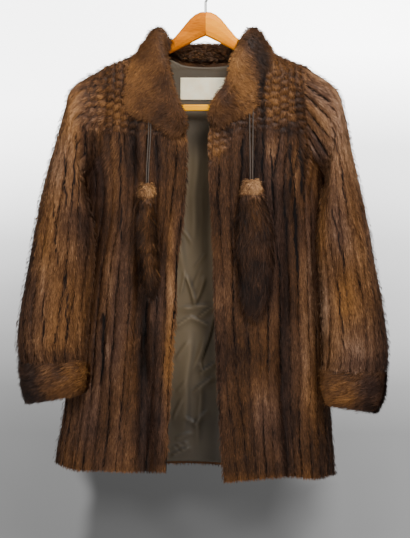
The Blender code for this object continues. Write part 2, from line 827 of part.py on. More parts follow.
def add_collar(side, name):
    """Half of the collar, hooked over the neck edge and cut to lie on what is under it."""
    rings = [collar_section(row, side) for row in COLLAR[side]]
    rings[0][:, 0] = side * SEAM_GAP / 2
    collar = add_loft(name, rings, plush())
    below = {
        "yoke": (yoke_outline(side, STRIPS_FRONT + 1), FRONT),
        "back yoke": (back_yoke_outline(STRIPS_BACK + 1), BACK),
        "front": (front_outline(side, 2 * STRIPS_FRONT + 1), FRONT),
    }
    for word, (outline, face) in below.items():
        surface = on_body(outline, face)
        normals = body_normals(surface, face)
        outer = surface + COLLAR_GAP * normals
        inner = surface - (FUR_WALL + COLLAR_OVERLAP) * normals
        cutter = add_cloth(f"{name} cut for {word}", outer, inner, fur(), gap=-4 * REST_GAP)
        cut(collar, cutter)


def add_hanger():
    """Two wooden arms that meet in the middle, the bar between their ends and the hook."""
    reach = BAR_LENGTH / 2
    bar = bpy.data.meshes.new("hanger_bar")
    bm = bmesh.new()
    bmesh.ops.create_cube(bm, size=1)
    bmesh.ops.scale(bm, vec=(2 * reach, BAR_DEPTH, BAR_HEIGHT), verts=bm.verts)
    bm.to_mesh(bar)
    bm.free()
    bar_object = add_object("hanger_bar", bar, varnished_wood())
    bar_object.location.z = -BAR_DOWN
    bevel = bar_object.modifiers.new("rounded edges", "BEVEL")
    bevel.width = BAR_BEVEL
    bevel.segments = 2

    mortise_size = (2 * (reach + REST_GAP), BAR_DEPTH + 2 * REST_GAP, BAR_HEIGHT + 2 * REST_GAP)
    mortise = box_cutter("mortise", mortise_size, -BAR_DOWN)
    socket = hook_socket()
    angles = np.linspace(0, 2 * math.pi, 12, endpoint=False)
    for side, name in ((LEFT, "hanger_arm_left"), (RIGHT, "hanger_arm_right")):
        rings = []
        for row in ARM:
            height = (row.bottom - row.top) / 2 * MM
            out = side * max(row.out * MM, SEAM_GAP / 2)
            rings.append(
                np.stack(
                    [
                        np.full(len(angles), out),
                        row.half * MM * signed_power(np.sin(angles), 0.9),
                        -(row.top + row.bottom) / 2 * MM + height * signed_power(np.cos(angles), 0.95),
                    ],
                    axis=1,
                )
            )
        arm = add_loft(name, rings, varnished_wood())
        cut(arm, mortise)
        cut(arm, socket)
    add_hook()


def box_cutter(name, size, height):
    mesh = bpy.data.meshes.new(name)
    bm = bmesh.new()
    bmesh.ops.create_cube(bm, size=1)
    bmesh.ops.scale(bm, vec=size, verts=bm.verts)
    bm.to_mesh(mesh)
    bm.free()
    made = add_object(name, mesh, varnished_wood())
    made.location.z = height
    return made


def hook_socket():
    """The hole that the hook's shank goes down, half in each arm."""
    mesh = bpy.data.meshes.new("socket")
    bm = bmesh.new()
    radius = WIRE / 2 + REST_GAP
    depth = 2 * SOCKET_DEPTH
    bmesh.ops.create_cone(
        bm, cap_ends=True, segments=16, radius1=radius, radius2=radius, depth=depth
    )
    bm.to_mesh(mesh)
    bm.free()
    made = add_object("socket", mesh, steel())
    made.location.z = -APEX_DOWN
    return made


def add_hook():
    """Bent wire: up from the arms, round to the right and over the rail."""
    radius = HOOK_INSIDE + WIRE / 2
    centre = -HOOK_INSIDE
    foot = -(APEX_DOWN + SOCKET_DEPTH - REST_GAP)
    route = [(0, foot), (0, -52 * MM)]
    lead_in = math.radians(-62)
    for share in np.linspace(0, 1, 22):
        angle = lead_in + share * math.radians(282)
        swing = radius * math.cos(angle)
        route.append((swing, centre + radius * math.sin(angle)))
    curve = bpy.data.curves.new("hanger_hook", "CURVE")
    curve.dimensions = "3D"
    curve.bevel_depth = WIRE / 2
    curve.bevel_resolution = 2
    curve.use_fill_caps = True
    spline = curve.splines.new("POLY")
    spline.points.add(len(route) - 1)
    for point, (across, up) in zip(spline.points, route):
        point.co = (across, 0, up, 1)
    add_object("hanger_hook", curve, steel())


def front_of_fur(across, down):
    """How far forward the strips of the fronts reach at a place."""
    return float(on_body(np.array([across, down]), FRONT)[1]) - STRIP_RELIEF


def pendant_middle(side, across, down):
    """How far forward a pendant hangs."""
    deepest = max(row.half_depth for row in PENDANT_TAIL[side]) * MM
    return front_of_fur(across, down) - PENDANT_CLEAR - deepest


def add_pendant(side, name, table, finish):
    angles = np.linspace(0, 2 * math.pi, 12, endpoint=False)
    rings = []
    for row in table:
        across, down = row.across * MM, row.down * MM
        half_width, half_depth = row.half_width * MM, row.half_depth * MM
        middle = pendant_middle(side, across, down)
        rings.append(
            np.stack(
                [
                    across + half_width * np.cos(angles),
                    middle + half_depth * np.sin(angles),
                    np.full(len(angles), -down),
                ],
                axis=1,
            )
        )
    add_loft(name, rings, finish)


def add_tie(tie):
    """One strand of a tie, from the collar's edge to the top of its pendant."""
    top, foot = tie.top_down * MM, PENDANT_CAP[tie.side][0].down * MM - REST_GAP
    top_across, foot_across = tie.top_across * MM, tie.foot_across * MM
    top_depth = front_of_fur(top_across, top) - TIE_CLEAR
    foot_depth = pendant_middle(tie.side, foot_across, foot)
    curve = bpy.data.curves.new(tie.name, "CURVE")
    curve.dimensions = "3D"
    curve.bevel_depth = CORD / 2
    curve.bevel_resolution = 2
    curve.use_fill_caps = True
    spline = curve.splines.new("POLY")
    shares = np.linspace(0, 1, 16)
    spline.points.add(len(shares) - 1)
    for point, share in zip(spline.points, shares):
        swing = share * share * (3 - 2 * share)
        point.co = (
            top_across + (foot_across - top_across) * swing,
            top_depth + (foot_depth - top_depth) * swing,
            -(top + (foot - top) * share),
            1,
        )
    add_object(tie.name, curve, braid())


def add_body():
    yoke_rows = slice(0, len(YOKE_ROWS))
    arm_rows = slice(0, len(ARMHOLE_DOWNS) + 1)
    for side, word in ((LEFT, "left"), (RIGHT, "right")):
        yoke_hole = [(side, -1, yoke_rows)]
        outline = yoke_outline(side, STRIPS_FRONT + 1)
        add_panel(f"yoke_{word}", outline, FRONT, armholes=yoke_hole)
        add_panel(
            f"front_{word}",
            front_outline(side, 2 * STRIPS_FRONT + 1),
            FRONT,
            relief=STRIP_RELIEF,
            armholes=[(side, -1, arm_rows)],
        )
    both = [(LEFT, 0, yoke_rows), (RIGHT, -1, yoke_rows)]
    add_panel("back_yoke", back_yoke_outline(STRIPS_BACK + 1), BACK, armholes=both)
    add_panel(
        "back",
        back_outline(2 * STRIPS_BACK + 1),
        BACK,
        relief=STRIP_RELIEF,
        armholes=[(LEFT, 0, arm_rows), (RIGHT, -1, arm_rows)],
    )


def main():
    for old in list(bpy.data.objects):
        bpy.data.objects.remove(old, do_unlink=True)
    add_body()
    add_sleeve(LEFT, "sleeve_left", "cuff_left")
    add_sleeve(RIGHT, "sleeve_right", "cuff_right")
    add_collar(LEFT, "collar_left")
    add_collar(RIGHT, "collar_right")
    add_linings()
    add_hanger()
    for side, word in ((LEFT, "left"), (RIGHT, "right")):
        add_pendant(side, f"pendant_cap_{word}", PENDANT_CAP[side], plush())
        add_pendant(side, f"pendant_tail_{word}", PENDANT_TAIL[side], fur())
    for tie in TIES:
        add_tie(tie)


main()
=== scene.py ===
# Looks of a mink jacket on a wooden hanger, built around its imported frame.
# Sizes are in millimetres until a mesh is made; "down" is measured from the hook's inside.

import math

import bpy
import numpy as np
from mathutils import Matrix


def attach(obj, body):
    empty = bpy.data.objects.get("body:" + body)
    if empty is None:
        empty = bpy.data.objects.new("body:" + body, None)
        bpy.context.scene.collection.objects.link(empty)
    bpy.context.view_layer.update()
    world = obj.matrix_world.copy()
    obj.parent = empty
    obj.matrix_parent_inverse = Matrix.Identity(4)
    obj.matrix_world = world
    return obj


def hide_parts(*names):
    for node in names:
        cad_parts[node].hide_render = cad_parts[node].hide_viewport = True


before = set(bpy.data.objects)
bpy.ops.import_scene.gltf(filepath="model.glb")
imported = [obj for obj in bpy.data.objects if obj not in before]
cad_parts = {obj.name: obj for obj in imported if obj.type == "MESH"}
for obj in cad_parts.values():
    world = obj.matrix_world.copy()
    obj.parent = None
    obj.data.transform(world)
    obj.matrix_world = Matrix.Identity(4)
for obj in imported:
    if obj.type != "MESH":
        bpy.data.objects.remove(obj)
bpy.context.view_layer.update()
print("frame loaded")

mm = 0.001
front, back = -1, 1
left, right = -1, 1
sideWord = {left: "left", right: "right"}


def linked(name, data):
    made = bpy.data.objects.new(name, data)
    bpy.context.scene.collection.objects.link(made)
    return made


# camera: straight on, as far away as a lens of this length needs

cameraSet = {"away": 5.0, "height": -0.562, "aside": -0.001, "plane": -0.03, "tall": 1.0222}
camera = linked("camera", bpy.data.cameras.new("camera"))
camera.location = (cameraSet["aside"], cameraSet["plane"] - cameraSet["away"], cameraSet["height"])
camera.rotation_euler = (math.pi / 2, 0, 0)
camera.data.lens = 36 * cameraSet["away"] / cameraSet["tall"]
camera.data.clip_end = 60
bpy.context.scene.camera = camera


def signedPower(value, power):
    return np.sign(value) * np.abs(value) ** power


def softStep(value, low, high):
    t = np.clip((value - low) / (high - low), 0, 1)
    return t * t * (3 - 2 * t)


def unit(vectors):
    return vectors / np.maximum(np.linalg.norm(vectors, axis=-1, keepdims=True), 1e-9)


def hermite(t, step, near, far):
    # between two values that each come with their slope
    return (
        (1 + 2 * t) * (1 - t) ** 2 * near[0]
        + t * (1 - t) ** 2 * step * near[1]
        + t**2 * (3 - 2 * t) * far[0]
        - t**2 * (1 - t) * step * far[1]
    )


def curveThrough(places, values):
    places, values = np.array(places, float), np.array(values, float)
    slopes = np.gradient(values, places)

    def read(at):
        at = np.clip(np.asarray(at, float), places[0], places[-1])
        row = np.clip(np.searchsorted(places, at) - 1, 0, len(places) - 2)
        step = places[row + 1] - places[row]
        near, far = ((values[k], slopes[k]) for k in (row, row + 1))
        return hermite((at - places[row]) / step, step, near, far)

    return read


# the jacket's form, as its pattern has it: each curve's places, mostly down, then its values

bodyDown = [100, 200, 300, 385, 470, 600, 740, 836, 880, 930, 970]
bodySide = {
    left: curveThrough(bodyDown, [-252, -250, -244, -233, -238, -249, -262, -271, -279, -287, -291]),
    right: curveThrough(bodyDown, [248, 246, 240, 229, 231, 236, 238, 239, 243, 246, 248]),
}
bodyMiddle = curveThrough(bodyDown, [0, 0, 0, 2, 8, 12, 13, 13, 13, 13, 13])
bodyHalf = {
    front: curveThrough(bodyDown, [45, 47, 50, 54, 57, 58, 58, 58, 58, 58, 58]),
    back: curveThrough(bodyDown, [38, 39, 40, 42, 43, 44, 45, 46, 46, 46, 46]),
}
shoulderDown = curveThrough([0, 50, 86, 105, 124, 155, 190, 230, 290], [92, 110, 129, 139, 147, 162, 175, 190, 215])
neckAcross = {
    left: curveThrough(
        [129, 150, 175, 205, 232, 256, 276, 292, 303], [-86, -85, -81, -75.5, -68.5, -58, -48, -40.5, -36.5]
    ),
    right: curveThrough([129, 150, 165, 190, 215, 234, 252, 272, 292, 370], [86, 71, 62, 57, 48, 35, 22, 14, 8, 7]),
}
edgeAcross = {
    left: curveThrough([303, 393, 459, 526, 640, 710, 838, 946], [-36.5, -37, -41, -51, -56, -62, -69, -74]),
    right: curveThrough([370, 459, 526, 640, 710, 838, 965], [7, 11, 15, 17, 20, 26, 35]),
}
# these are read at a share of the way from the front edge, or from the left side seam
yokeSeamDown = {
    left: curveThrough([0, 0.5, 1], [303, 303, 300]),
    right: curveThrough([0, 0.18, 0.33, 1], [370, 332, 308, 300]),
}
hemDown = {
    left: curveThrough([0, 0.6, 0.88, 1], [946, 944, 941, 930]),
    right: curveThrough([0, 0.6, 0.85, 1], [965, 956, 960, 953]),
}
backHemDown = curveThrough([0, 0.12, 0.5, 0.88, 1], [930, 938, 937, 950, 953])
armholeOut = curveThrough([175, 210, 250, 290, 325, 348, 368], [190, 188, 188, 190, 196, 205, 217])
cut = {
    "shoulderRound": 55,
    "lensPower": 2.05,
    "yokeDown": 300,
    "underarmDown": 385,
    "backNeckDown": 165,
    "neckHalf": 86,
    "neckRows": [0, 0.1, 0.26, 0.45, 0.63, 0.82, 1],
    "yokeRows": [0, 0.058, 0.218, 0.436, 0.62, 0.81, 1],
    "armholeDowns": [300, 325, 348, 368],
    "sideRows": [0, 0.13, 0.28, 0.44, 0.62, 0.8, 0.93, 1],
}
folds = [  # face, top across and down, foot across and down, half width, depth inwards
    (front, -118, 470, -109, 970, 10, 11), (front, -86, 520, -92, 965, 12, -3),
    (front, -150, 520, -158, 960, 30, -9), (front, -192, 560, -205, 960, 10, 4),
    (front, -137, 270, -128, 480, 8, 6), (front, 144, 450, 156, 970, 10, 11),
    (front, 108, 560, 96, 970, 30, -9), (front, 190, 430, 198, 960, 22, -8),
    (front, 36, 430, 60, 965, 20, -3), (back, -150, 420, -172, 940, 16, 8),
    (back, -80, 500, -82, 940, 30, -5), (back, 34, 380, 44, 940, 14, 8),
    (back, 132, 460, 150, 950, 20, 7),
]


def openness(across, down):
    low, high = bodySide[left](down), bodySide[right](down)
    aside = (across - (low + high) / 2) / ((high - low) / 2)
    below = down - shoulderDown(np.abs(across))
    up = np.clip((cut["shoulderRound"] - below) / cut["shoulderRound"], 0, None)
    return (1 - np.abs(aside) ** cut["lensPower"]) * signedPower(1 - up**2, cut["lensPower"] / 2)


def foldDepth(across, down, face):
    depth = np.zeros(np.shape(across))
    for _, topX, topDown, footX, footDown, half, deep in (fold for fold in folds if fold[0] == face):
        along = (down - topDown) / (footDown - topDown)
        middle = topX + (footX - topX) * np.clip(along, 0, 1) + 5 * np.sin(down / 67 + topX)
        depth = depth + deep * np.exp(-(((across - middle) / half) ** 2)) * softStep(along, -0.05, 0.35)
    return depth


def onBody(outline, face, folded=True):
    across, down = outline[..., 0], outline[..., 1]
    full = np.clip(openness(across, down), 0, None) ** (1 / cut["lensPower"])
    half = bodyHalf[face](down)
    if folded:
        half = half - foldDepth(across, down, face)
    return np.stack([across, bodyMiddle(down) + face * half * full, -down], axis=-1)


def bodyNormals(points, face):
    def outside(places):
        down = -places[..., 2]
        depth = (places[..., 1] - bodyMiddle(down)) / bodyHalf[face](down)
        return np.abs(depth) ** cut["lensPower"] - openness(places[..., 0], down)

    return unit(np.stack([outside(points + shift) - outside(points - shift) for shift in 0.01 * np.eye(3)], axis=-1))


def evenly(outline, face, count):
    steps = np.linalg.norm(np.diff(onBody(outline, face, False), axis=0), axis=1)
    reach = np.concatenate([[0], np.cumsum(steps)])
    wanted = np.linspace(0, reach[-1], count)
    return np.stack([np.interp(wanted, reach, outline[:, i]) for i in (0, 1)], axis=1)


def towardsSide(start, end, downOf):
    share = np.sin(np.linspace(0, math.pi / 2, 240))
    return np.stack([start + (end - start) * share, downOf(share)], axis=1)


def patch(top, bottom, start, end):
    # fills in a grid between its four edges
    us = np.linspace(0, 1, len(top))[None, :, None]
    vs = np.linspace(0, 1, len(start))[:, None, None]
    rims = (1 - vs) * top[None] + vs * bottom[None]
    sides = (1 - us) * start[:, None] + us * end[:, None]
    corners = (1 - vs) * ((1 - us) * top[0] + us * top[-1])
    return rims + sides - (corners + vs * ((1 - us) * bottom[0] + us * bottom[-1]))


def spread(shares, first, last):
    return first + (last - first) * np.asarray(shares, float)


def sidePoints(side):
    upper = np.array(cut["armholeDowns"], float)
    lower = spread(cut["sideRows"], cut["underarmDown"], hemDown[side](1))
    arm = np.stack([side * armholeOut(upper), upper], axis=1)
    return np.concatenate([arm, np.stack([bodySide[side](lower), lower], axis=1)])


def armholePoints(side):
    downs = spread(cut["yokeRows"], shoulderDown(armholeOut(0)), cut["yokeDown"])
    return np.stack([side * armholeOut(downs), downs], axis=1)


def yokeSeamLine(side, columns):
    start = neckAcross[side](yokeSeamDown[side](0))
    return evenly(towardsSide(start, armholePoints(side)[-1, 0], yokeSeamDown[side]), front, columns)


def yokeOutline(side, columns):
    neckPoint = np.array([neckAcross[side](0), shoulderDown(abs(neckAcross[side](0)))])
    arm = armholePoints(side)
    across = np.linspace(neckPoint[0], arm[0, 0], columns)
    downs = spread(cut["neckRows"], neckPoint[1], yokeSeamDown[side](0))
    neck = np.stack([neckAcross[side](downs), downs], axis=1)
    neck[0] = neckPoint
    top = np.stack([across, shoulderDown(np.abs(across))], axis=1)
    return patch(top, yokeSeamLine(side, columns), neck, arm)


def frontOutline(side, columns):
    top, seam = yokeSeamLine(side, columns), sidePoints(side)
    foot = towardsSide(edgeAcross[side](hemDown[side](0)), seam[-1, 0], hemDown[side])
    downs = spread((seam[:, 1] - seam[0, 1]) / (seam[-1, 1] - seam[0, 1]), top[0, 1], hemDown[side](0))
    edge = np.stack([edgeAcross[side](downs), downs], axis=1)
    edge[0] = top[0]
    return patch(top, evenly(foot, front, columns), edge, seam)


def backYokeSeam(columns):
    across = np.linspace(armholePoints(left)[-1, 0], armholePoints(right)[-1, 0], 200)
    return evenly(np.stack([across, np.full(200, cut["yokeDown"])], axis=1), back, columns)


def backYokeOutline(columns):
    start, end = armholePoints(left), armholePoints(right)
    across = np.linspace(start[0, 0], end[0, 0], columns)
    rise = cut["backNeckDown"] - shoulderDown(cut["neckHalf"])
    inside = np.abs(across) / cut["neckHalf"]
    dip = cut["backNeckDown"] - rise * np.clip(inside, 0, 1) ** 3
    top = np.where(inside < 1, dip, shoulderDown(np.abs(across)))
    return patch(np.stack([across, top], axis=1), backYokeSeam(columns), start, end)


def backOutline(columns):
    start, end = sidePoints(left), sidePoints(right)
    share = (1 - np.cos(np.linspace(0, math.pi, 400))) / 2
    across = start[-1, 0] + (end[-1, 0] - start[-1, 0]) * share
    foot = evenly(np.stack([across, backHemDown(share)], axis=1), back, columns)
    return patch(backYokeSeam(columns), foot, start, end)


# grids of points, noise and meshes


def refine(grid, wanted, axis=0, closed=False):
    # wanted is a count of even steps or a list of places between the grid's own rows
    grid = np.moveaxis(np.asarray(grid, float), axis, 0)
    rows = len(grid)
    if closed:
        at = np.arange(wanted) * rows / wanted
        slopes = (np.roll(grid, -1, axis=0) - np.roll(grid, 1, axis=0)) / 2
        row = at.astype(int)
    else:
        at = np.linspace(0, rows - 1, wanted) if np.isscalar(wanted) else np.asarray(wanted)
        slopes = np.gradient(grid, axis=0)
        row = np.minimum(at.astype(int), rows - 2)
    t = (at - row).reshape((-1,) + (1,) * (grid.ndim - 1))
    near, far = ((grid[k], slopes[k]) for k in (row, (row + 1) % rows))
    return np.moveaxis(hermite(t, 1, near, far), 0, axis)


def evenRows(grid, reach, rows):
    # refines a grid until its rows are evenly apart in reach, which each old row has
    return refine(grid, np.interp(np.linspace(reach[0], reach[-1], rows), reach, np.arange(len(reach))))


def evenGrid(outline, size):
    fine = refine(outline, size[1], axis=1)
    return evenRows(fine, fine[..., 1].mean(axis=1), size[0])


def tubeGrid(rings, size):
    fine = refine(rings, size[1], axis=1, closed=True)
    reach = np.concatenate([[0], np.cumsum(np.linalg.norm(np.diff(fine, axis=0), axis=2).mean(axis=1))])
    return evenRows(fine, reach, size[0])


def fromAxis(points):
    return points - points.mean(axis=1, keepdims=True)


def closedUp(grid, closed):
    return np.concatenate([grid, grid[:, :1]], axis=1) if closed else grid


def slopesOf(points, closed):
    across, down = np.gradient(points, axis=1), np.gradient(points, axis=0)
    if closed:
        across = (np.roll(points, -1, axis=1) - np.roll(points, 1, axis=1)) / 2
    return across, down


def gridNormals(points, closed, towards):
    normals = unit(np.cross(*slopesOf(points, closed)))
    return normals * np.sign((normals * towards).sum(axis=-1).mean())


def gridAt(grid, rows, columns):
    # a value between a grid's points, for rows and columns that aren't whole numbers
    r = np.clip(rows.astype(int), 0, grid.shape[0] - 2)
    c = np.clip(columns.astype(int), 0, grid.shape[1] - 2)
    fr, fc = rows - r, columns - c
    if grid.ndim == 3:
        fr, fc = fr[:, None], fc[:, None]
    top = grid[r, c] * (1 - fc) + grid[r, c + 1] * fc
    return top * (1 - fr) + (grid[r + 1, c] * (1 - fc) + grid[r + 1, c + 1] * fc) * fr


def hashed(i, j, seed):
    h = (i * 374761393 + j * 668265263 + seed * 1442695041) & 0xFFFFFFFF
    h = ((h ^ (h >> 13)) * 1274126177) & 0xFFFFFFFF
    return (h ^ (h >> 16)) / 4294967295


def noise(x, y, seed):
    # smooth values from 0 to 1
    x, y = np.broadcast_arrays(np.asarray(x, float), np.asarray(y, float))
    i, j = np.floor(x).astype(np.int64), np.floor(y).astype(np.int64)
    fx, fy = x - i, y - j
    fx, fy = fx * fx * (3 - 2 * fx), fy * fy * (3 - 2 * fy)
    top = hashed(i, j, seed) * (1 - fx) + hashed(i + 1, j, seed) * fx
    foot = hashed(i, j + 1, seed) * (1 - fx) + hashed(i + 1, j + 1, seed) * fx
    return top * (1 - fy) + foot * fy


def makeMesh(name, points, faces, finish, normals=None, colours=None, places=None):
    # faces is an array of triangles; colours are one per point, places one per corner
    mesh = bpy.data.meshes.new(name)
    mesh.vertices.add(len(points))
    mesh.vertices.foreach_set("co", (np.asarray(points) * mm).astype(np.float32).ravel())
    faces = np.asarray(faces, np.int32)
    mesh.loops.add(faces.size)
    mesh.loops.foreach_set("vertex_index", faces.ravel())
    mesh.polygons.add(len(faces))
    mesh.polygons.foreach_set("loop_start", np.arange(0, faces.size, 3, dtype=np.int32))
    mesh.update(calc_edges=True)
    mesh.shade_smooth()
    if colours is not None:
        layer = mesh.color_attributes.new("coat", "FLOAT_COLOR", "POINT")
        whole = np.concatenate([colours, np.ones((len(colours), 1))], axis=1)
        layer.data.foreach_set("color", whole.astype(np.float32).ravel())
    if places is not None:
        mesh.uv_layers.new(name="OFBake").uv.foreach_set("vector", places.astype(np.float32).ravel())
    if normals is not None:
        mesh.normals_split_custom_set_from_vertices(normals.astype(np.float32))
    mesh.materials.append(finish)
    return linked(name, mesh)


def gridFaces(index, closed):
    # two triangles for each cell of a grid of point numbers
    index = closedUp(index, closed)
    a, b, d, e = index[:-1, :-1], index[:-1, 1:], index[1:, :-1], index[1:, 1:]
    return np.concatenate([np.stack(corners, axis=-1).reshape(-1, 3) for corners in ((a, b, e), (a, e, d))])


def rimFaces(outer, inner, step, closed):
    # joins a fine rim to a coarse one that has every step-th point of it
    faces = []
    for j in range(len(inner) if closed else len(inner) - 1):
        line = [outer[(j * step + k) % len(outer)] for k in range(step + 1)]
        faces += [[inner[j], line[k], line[k + 1]] for k in range(step)]
        faces.append([inner[j], line[-1], inner[(j + 1) % len(inner)]])
    return np.array(faces)


def facingOut(points, faces):
    corners = points[faces]
    signed = np.einsum("ij,ij->i", corners[:, 0], np.cross(corners[:, 1], corners[:, 2])).sum()
    return faces[:, ::-1] if signed < 0 else faces


def makeShell(name, outer, inner, finish, closed=False, step=4, colours=None):
    # a wall of cloth: a fine outer grid, a coarse inner one, and the rims between them
    sparse = inner[::step, ::step]
    points = np.concatenate([outer.reshape(-1, 3), sparse.reshape(-1, 3)])
    fine = np.arange(outer.size // 3).reshape(outer.shape[:2])
    coarse = fine.size + np.arange(sparse.size // 3).reshape(sparse.shape[:2])
    faces = [gridFaces(fine, closed), gridFaces(coarse, closed)[:, ::-1]]
    faces += [rimFaces(fine[0], coarse[0], step, closed)[:, ::-1], rimFaces(fine[-1], coarse[-1], step, closed)]
    if not closed:
        faces.append(rimFaces(fine[:, 0], coarse[:, 0], step, False))
        faces.append(rimFaces(fine[:, -1], coarse[:, -1], step, False)[:, ::-1])
    if colours is not None:
        colours = np.concatenate([colours.reshape(-1, 3), colours[::step, ::step].reshape(-1, 3)])
    return makeMesh(name, points, facingOut(points, np.concatenate(faces)), finish, colours=colours)


def belong(piece, slot, *nodes):
    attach(piece, "root")
    if nodes:
        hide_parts(*nodes)
    return piece


# finishes


def setInputs(tree, node, values):
    for key, value in values.items():
        if isinstance(value, bpy.types.NodeSocket):
            tree.links.new(value, node.inputs[key])
        else:
            node.inputs[key].default_value = value


def put(tree, kind, values={}, **settings):
    node = tree.nodes.new("ShaderNode" + kind)
    for key, value in settings.items():
        setattr(node, key, value)
    setInputs(tree, node, values)
    return node


def placeIn(tree, **moved):
    place = put(tree, "TexCoord").outputs["Object"]
    return put(tree, "Mapping", {"Vector": place, **moved}).outputs[0] if moved else place


def speckle(tree, place, **values):
    return put(tree, "TexNoise", {"Vector": place, **values}).outputs["Fac"]


def remap(tree, value, low=0, high=1, first=0, last=1, **settings):
    return put(tree, "MapRange", {0: value, 1: low, 2: high, 3: first, 4: last}, **settings).outputs[0]


def maths(tree, kind, *values):
    return put(tree, "Math", dict(enumerate(values)), operation=kind).outputs[0]


def blend(tree, share, first, second, how="MIX"):
    return put(tree, "Mix", {"Factor": share, 6: first, 7: second}, data_type="RGBA", blend_type=how).outputs[2]


def grey(tree, value):
    return put(tree, "CombineColor", {0: value, 1: value, 2: value}).outputs[0]


def bump(tree, height, strength, distance):
    return put(tree, "Bump", {"Height": height, "Strength": strength, "Distance": distance}).outputs[0]


def colourRamp(tree, factor, stops):
    node = put(tree, "ValToRGB", {"Fac": factor})
    elements = node.color_ramp.elements
    for element, (place, colour) in zip((elements[0], elements[1]), (stops[0], stops[-1])):
        element.position, element.color = place, (*colour, 1)
    for place, colour in stops[1:-1]:
        elements.new(place).color = (*colour, 1)
    return node.outputs["Color"]


def newMaterial(name):
    made = bpy.data.materials.new(name)
    made.use_nodes = True
    return made, made.node_tree, made.node_tree.nodes["Principled BSDF"]


furColours = {
    "warm": [
        (0.0, (0.0055, 0.0026, 0.0013)), (0.25, (0.030, 0.0122, 0.0046)), (0.5, (0.112, 0.0445, 0.0125)),
        (0.75, (0.30, 0.130, 0.036)), (1.0, (0.62, 0.32, 0.115)),
    ],
    "cool": [
        (0.0, (0.0055, 0.0035, 0.0032)), (0.3, (0.036, 0.0172, 0.0115)),
        (0.6, (0.128, 0.064, 0.040)), (1.0, (0.50, 0.34, 0.25)),
    ],
    "rootShade": 0.5,
    "mottle": 0.05,
}


def furTone():
    # tone and coolness painted on the coat become the hair's colour, darker at its root, partly as the hair's own
    # darker root and partly as painted shade under the hair
    group = bpy.data.node_groups.new("furTone", "ShaderNodeTree")
    for label in ("Tone", "Cool", "Along", "Mottle"):
        group.interface.new_socket(label, in_out="INPUT", socket_type="NodeSocketFloat")
    for label, kind in (("Color", "Color"), ("Height", "Float")):
        group.interface.new_socket(label, in_out="OUTPUT", socket_type="NodeSocket" + kind)
    given = group.nodes.new("NodeGroupInput").outputs
    hairs = speckle(group, placeIn(group, Scale=(620, 620, 60)), Scale=1.0, Detail=3.0, Roughness=0.6)
    patches = speckle(group, placeIn(group), Scale=26.0, Detail=2.0)
    both = maths(group, "ADD", remap(group, hairs, 0.3, 0.7, -1, 1), remap(group, patches, 0.3, 0.7, -0.5, 0.5))
    tone = maths(group, "MULTIPLY_ADD", both, given["Mottle"], given["Tone"])
    warm, cool = (colourRamp(group, tone, furColours[key]) for key in ("warm", "cool"))
    shade = grey(group, remap(group, given["Along"], 0.0, 0.75, furColours["rootShade"], 1.0))
    final = blend(group, 1.0, blend(group, given["Cool"], warm, cool), shade, "MULTIPLY")
    setInputs(group, group.nodes.new("NodeGroupOutput"), {"Color": final, "Height": hairs})
    return group


furToneGroup = furTone()


def furMaterial(name, roughness, sheen, relief=0.0):
    made, tree, shader = newMaterial(name)
    painted = put(tree, "Attribute", attribute_name="coat").outputs["Color"]
    split = put(tree, "SeparateColor", {0: painted}).outputs
    given = {"Tone": split[0], "Cool": split[1], "Along": split[2], "Mottle": furColours["mottle"]}
    tone = put(tree, "Group", given, node_tree=furToneGroup).outputs
    setInputs(tree, shader, {"Base Color": tone["Color"], "Roughness": roughness, "Specular IOR Level": 0.18})
    setInputs(tree, shader, {"Sheen Weight": sheen, "Sheen Roughness": 0.4, "Sheen Tint": (0.9, 0.7, 0.55, 1)})
    if relief:
        setInputs(tree, shader, {"Normal": bump(tree, tone["Height"], relief, 0.002)})
    return made


def satinMaterial():
    made, tree, shader = newMaterial("taupe_satin")
    place = placeIn(tree)
    slub = put(tree, "TexNoise", {"Vector": placeIn(tree, Scale=(900, 900, 120)), "Detail": 2.0}).outputs
    cloud = speckle(tree, place, Scale=11.0, Detail=3.0)
    cloth = blend(tree, cloud, (0.105, 0.072, 0.037, 1), (0.180, 0.130, 0.072, 1))
    woven = blend(tree, 0.22, cloth, slub["Color"], "SOFT_LIGHT")
    # painted shade: the satin is painted darker towards the bottom, and darker still where the coat attribute carries
    # the shade its creases hold
    paintedShadeLow = remap(tree, put(tree, "SeparateXYZ", {0: place}).outputs["Z"], -0.66, -0.86, 1.0, 0.26)
    painted = put(tree, "Attribute", attribute_name="coat").outputs["Color"]
    dim = maths(tree, "MULTIPLY", paintedShadeLow, put(tree, "SeparateColor", {0: painted}).outputs[0])
    mottleAndPaintedShade = put(tree, "VectorMath", {0: woven, "Scale": dim}, operation="SCALE").outputs[0]
    setInputs(tree, shader, {"Base Color": mottleAndPaintedShade, "Roughness": 0.55, "Specular IOR Level": 0.4})
    setInputs(tree, shader, {"Sheen Weight": 0.05, "Normal": bump(tree, slub["Fac"], 0.25, 0.0004)})
    return made


def tapeMaterial():
    made, tree, shader = newMaterial("woven_tape")
    place = placeIn(tree)
    threads = {"Vector": place, "Scale": 420.0, "Distortion": 0.4}
    warp, weft = (put(tree, "TexWave", threads, bands_direction=axis).outputs["Fac"] for axis in "XZ")
    cloud = speckle(tree, place, Scale=60.0, Detail=3.0)
    mottleAndPaintedShade = colourRamp(tree, cloud, [(0.3, (0.96, 0.82, 0.54)), (0.7, (1.0, 0.95, 0.70))])
    raised = bump(tree, maths(tree, "MULTIPLY", warp, weft), 0.4, 0.0004)
    setInputs(tree, shader, {"Base Color": mottleAndPaintedShade, "Roughness": 0.75, "Normal": raised})
    return made


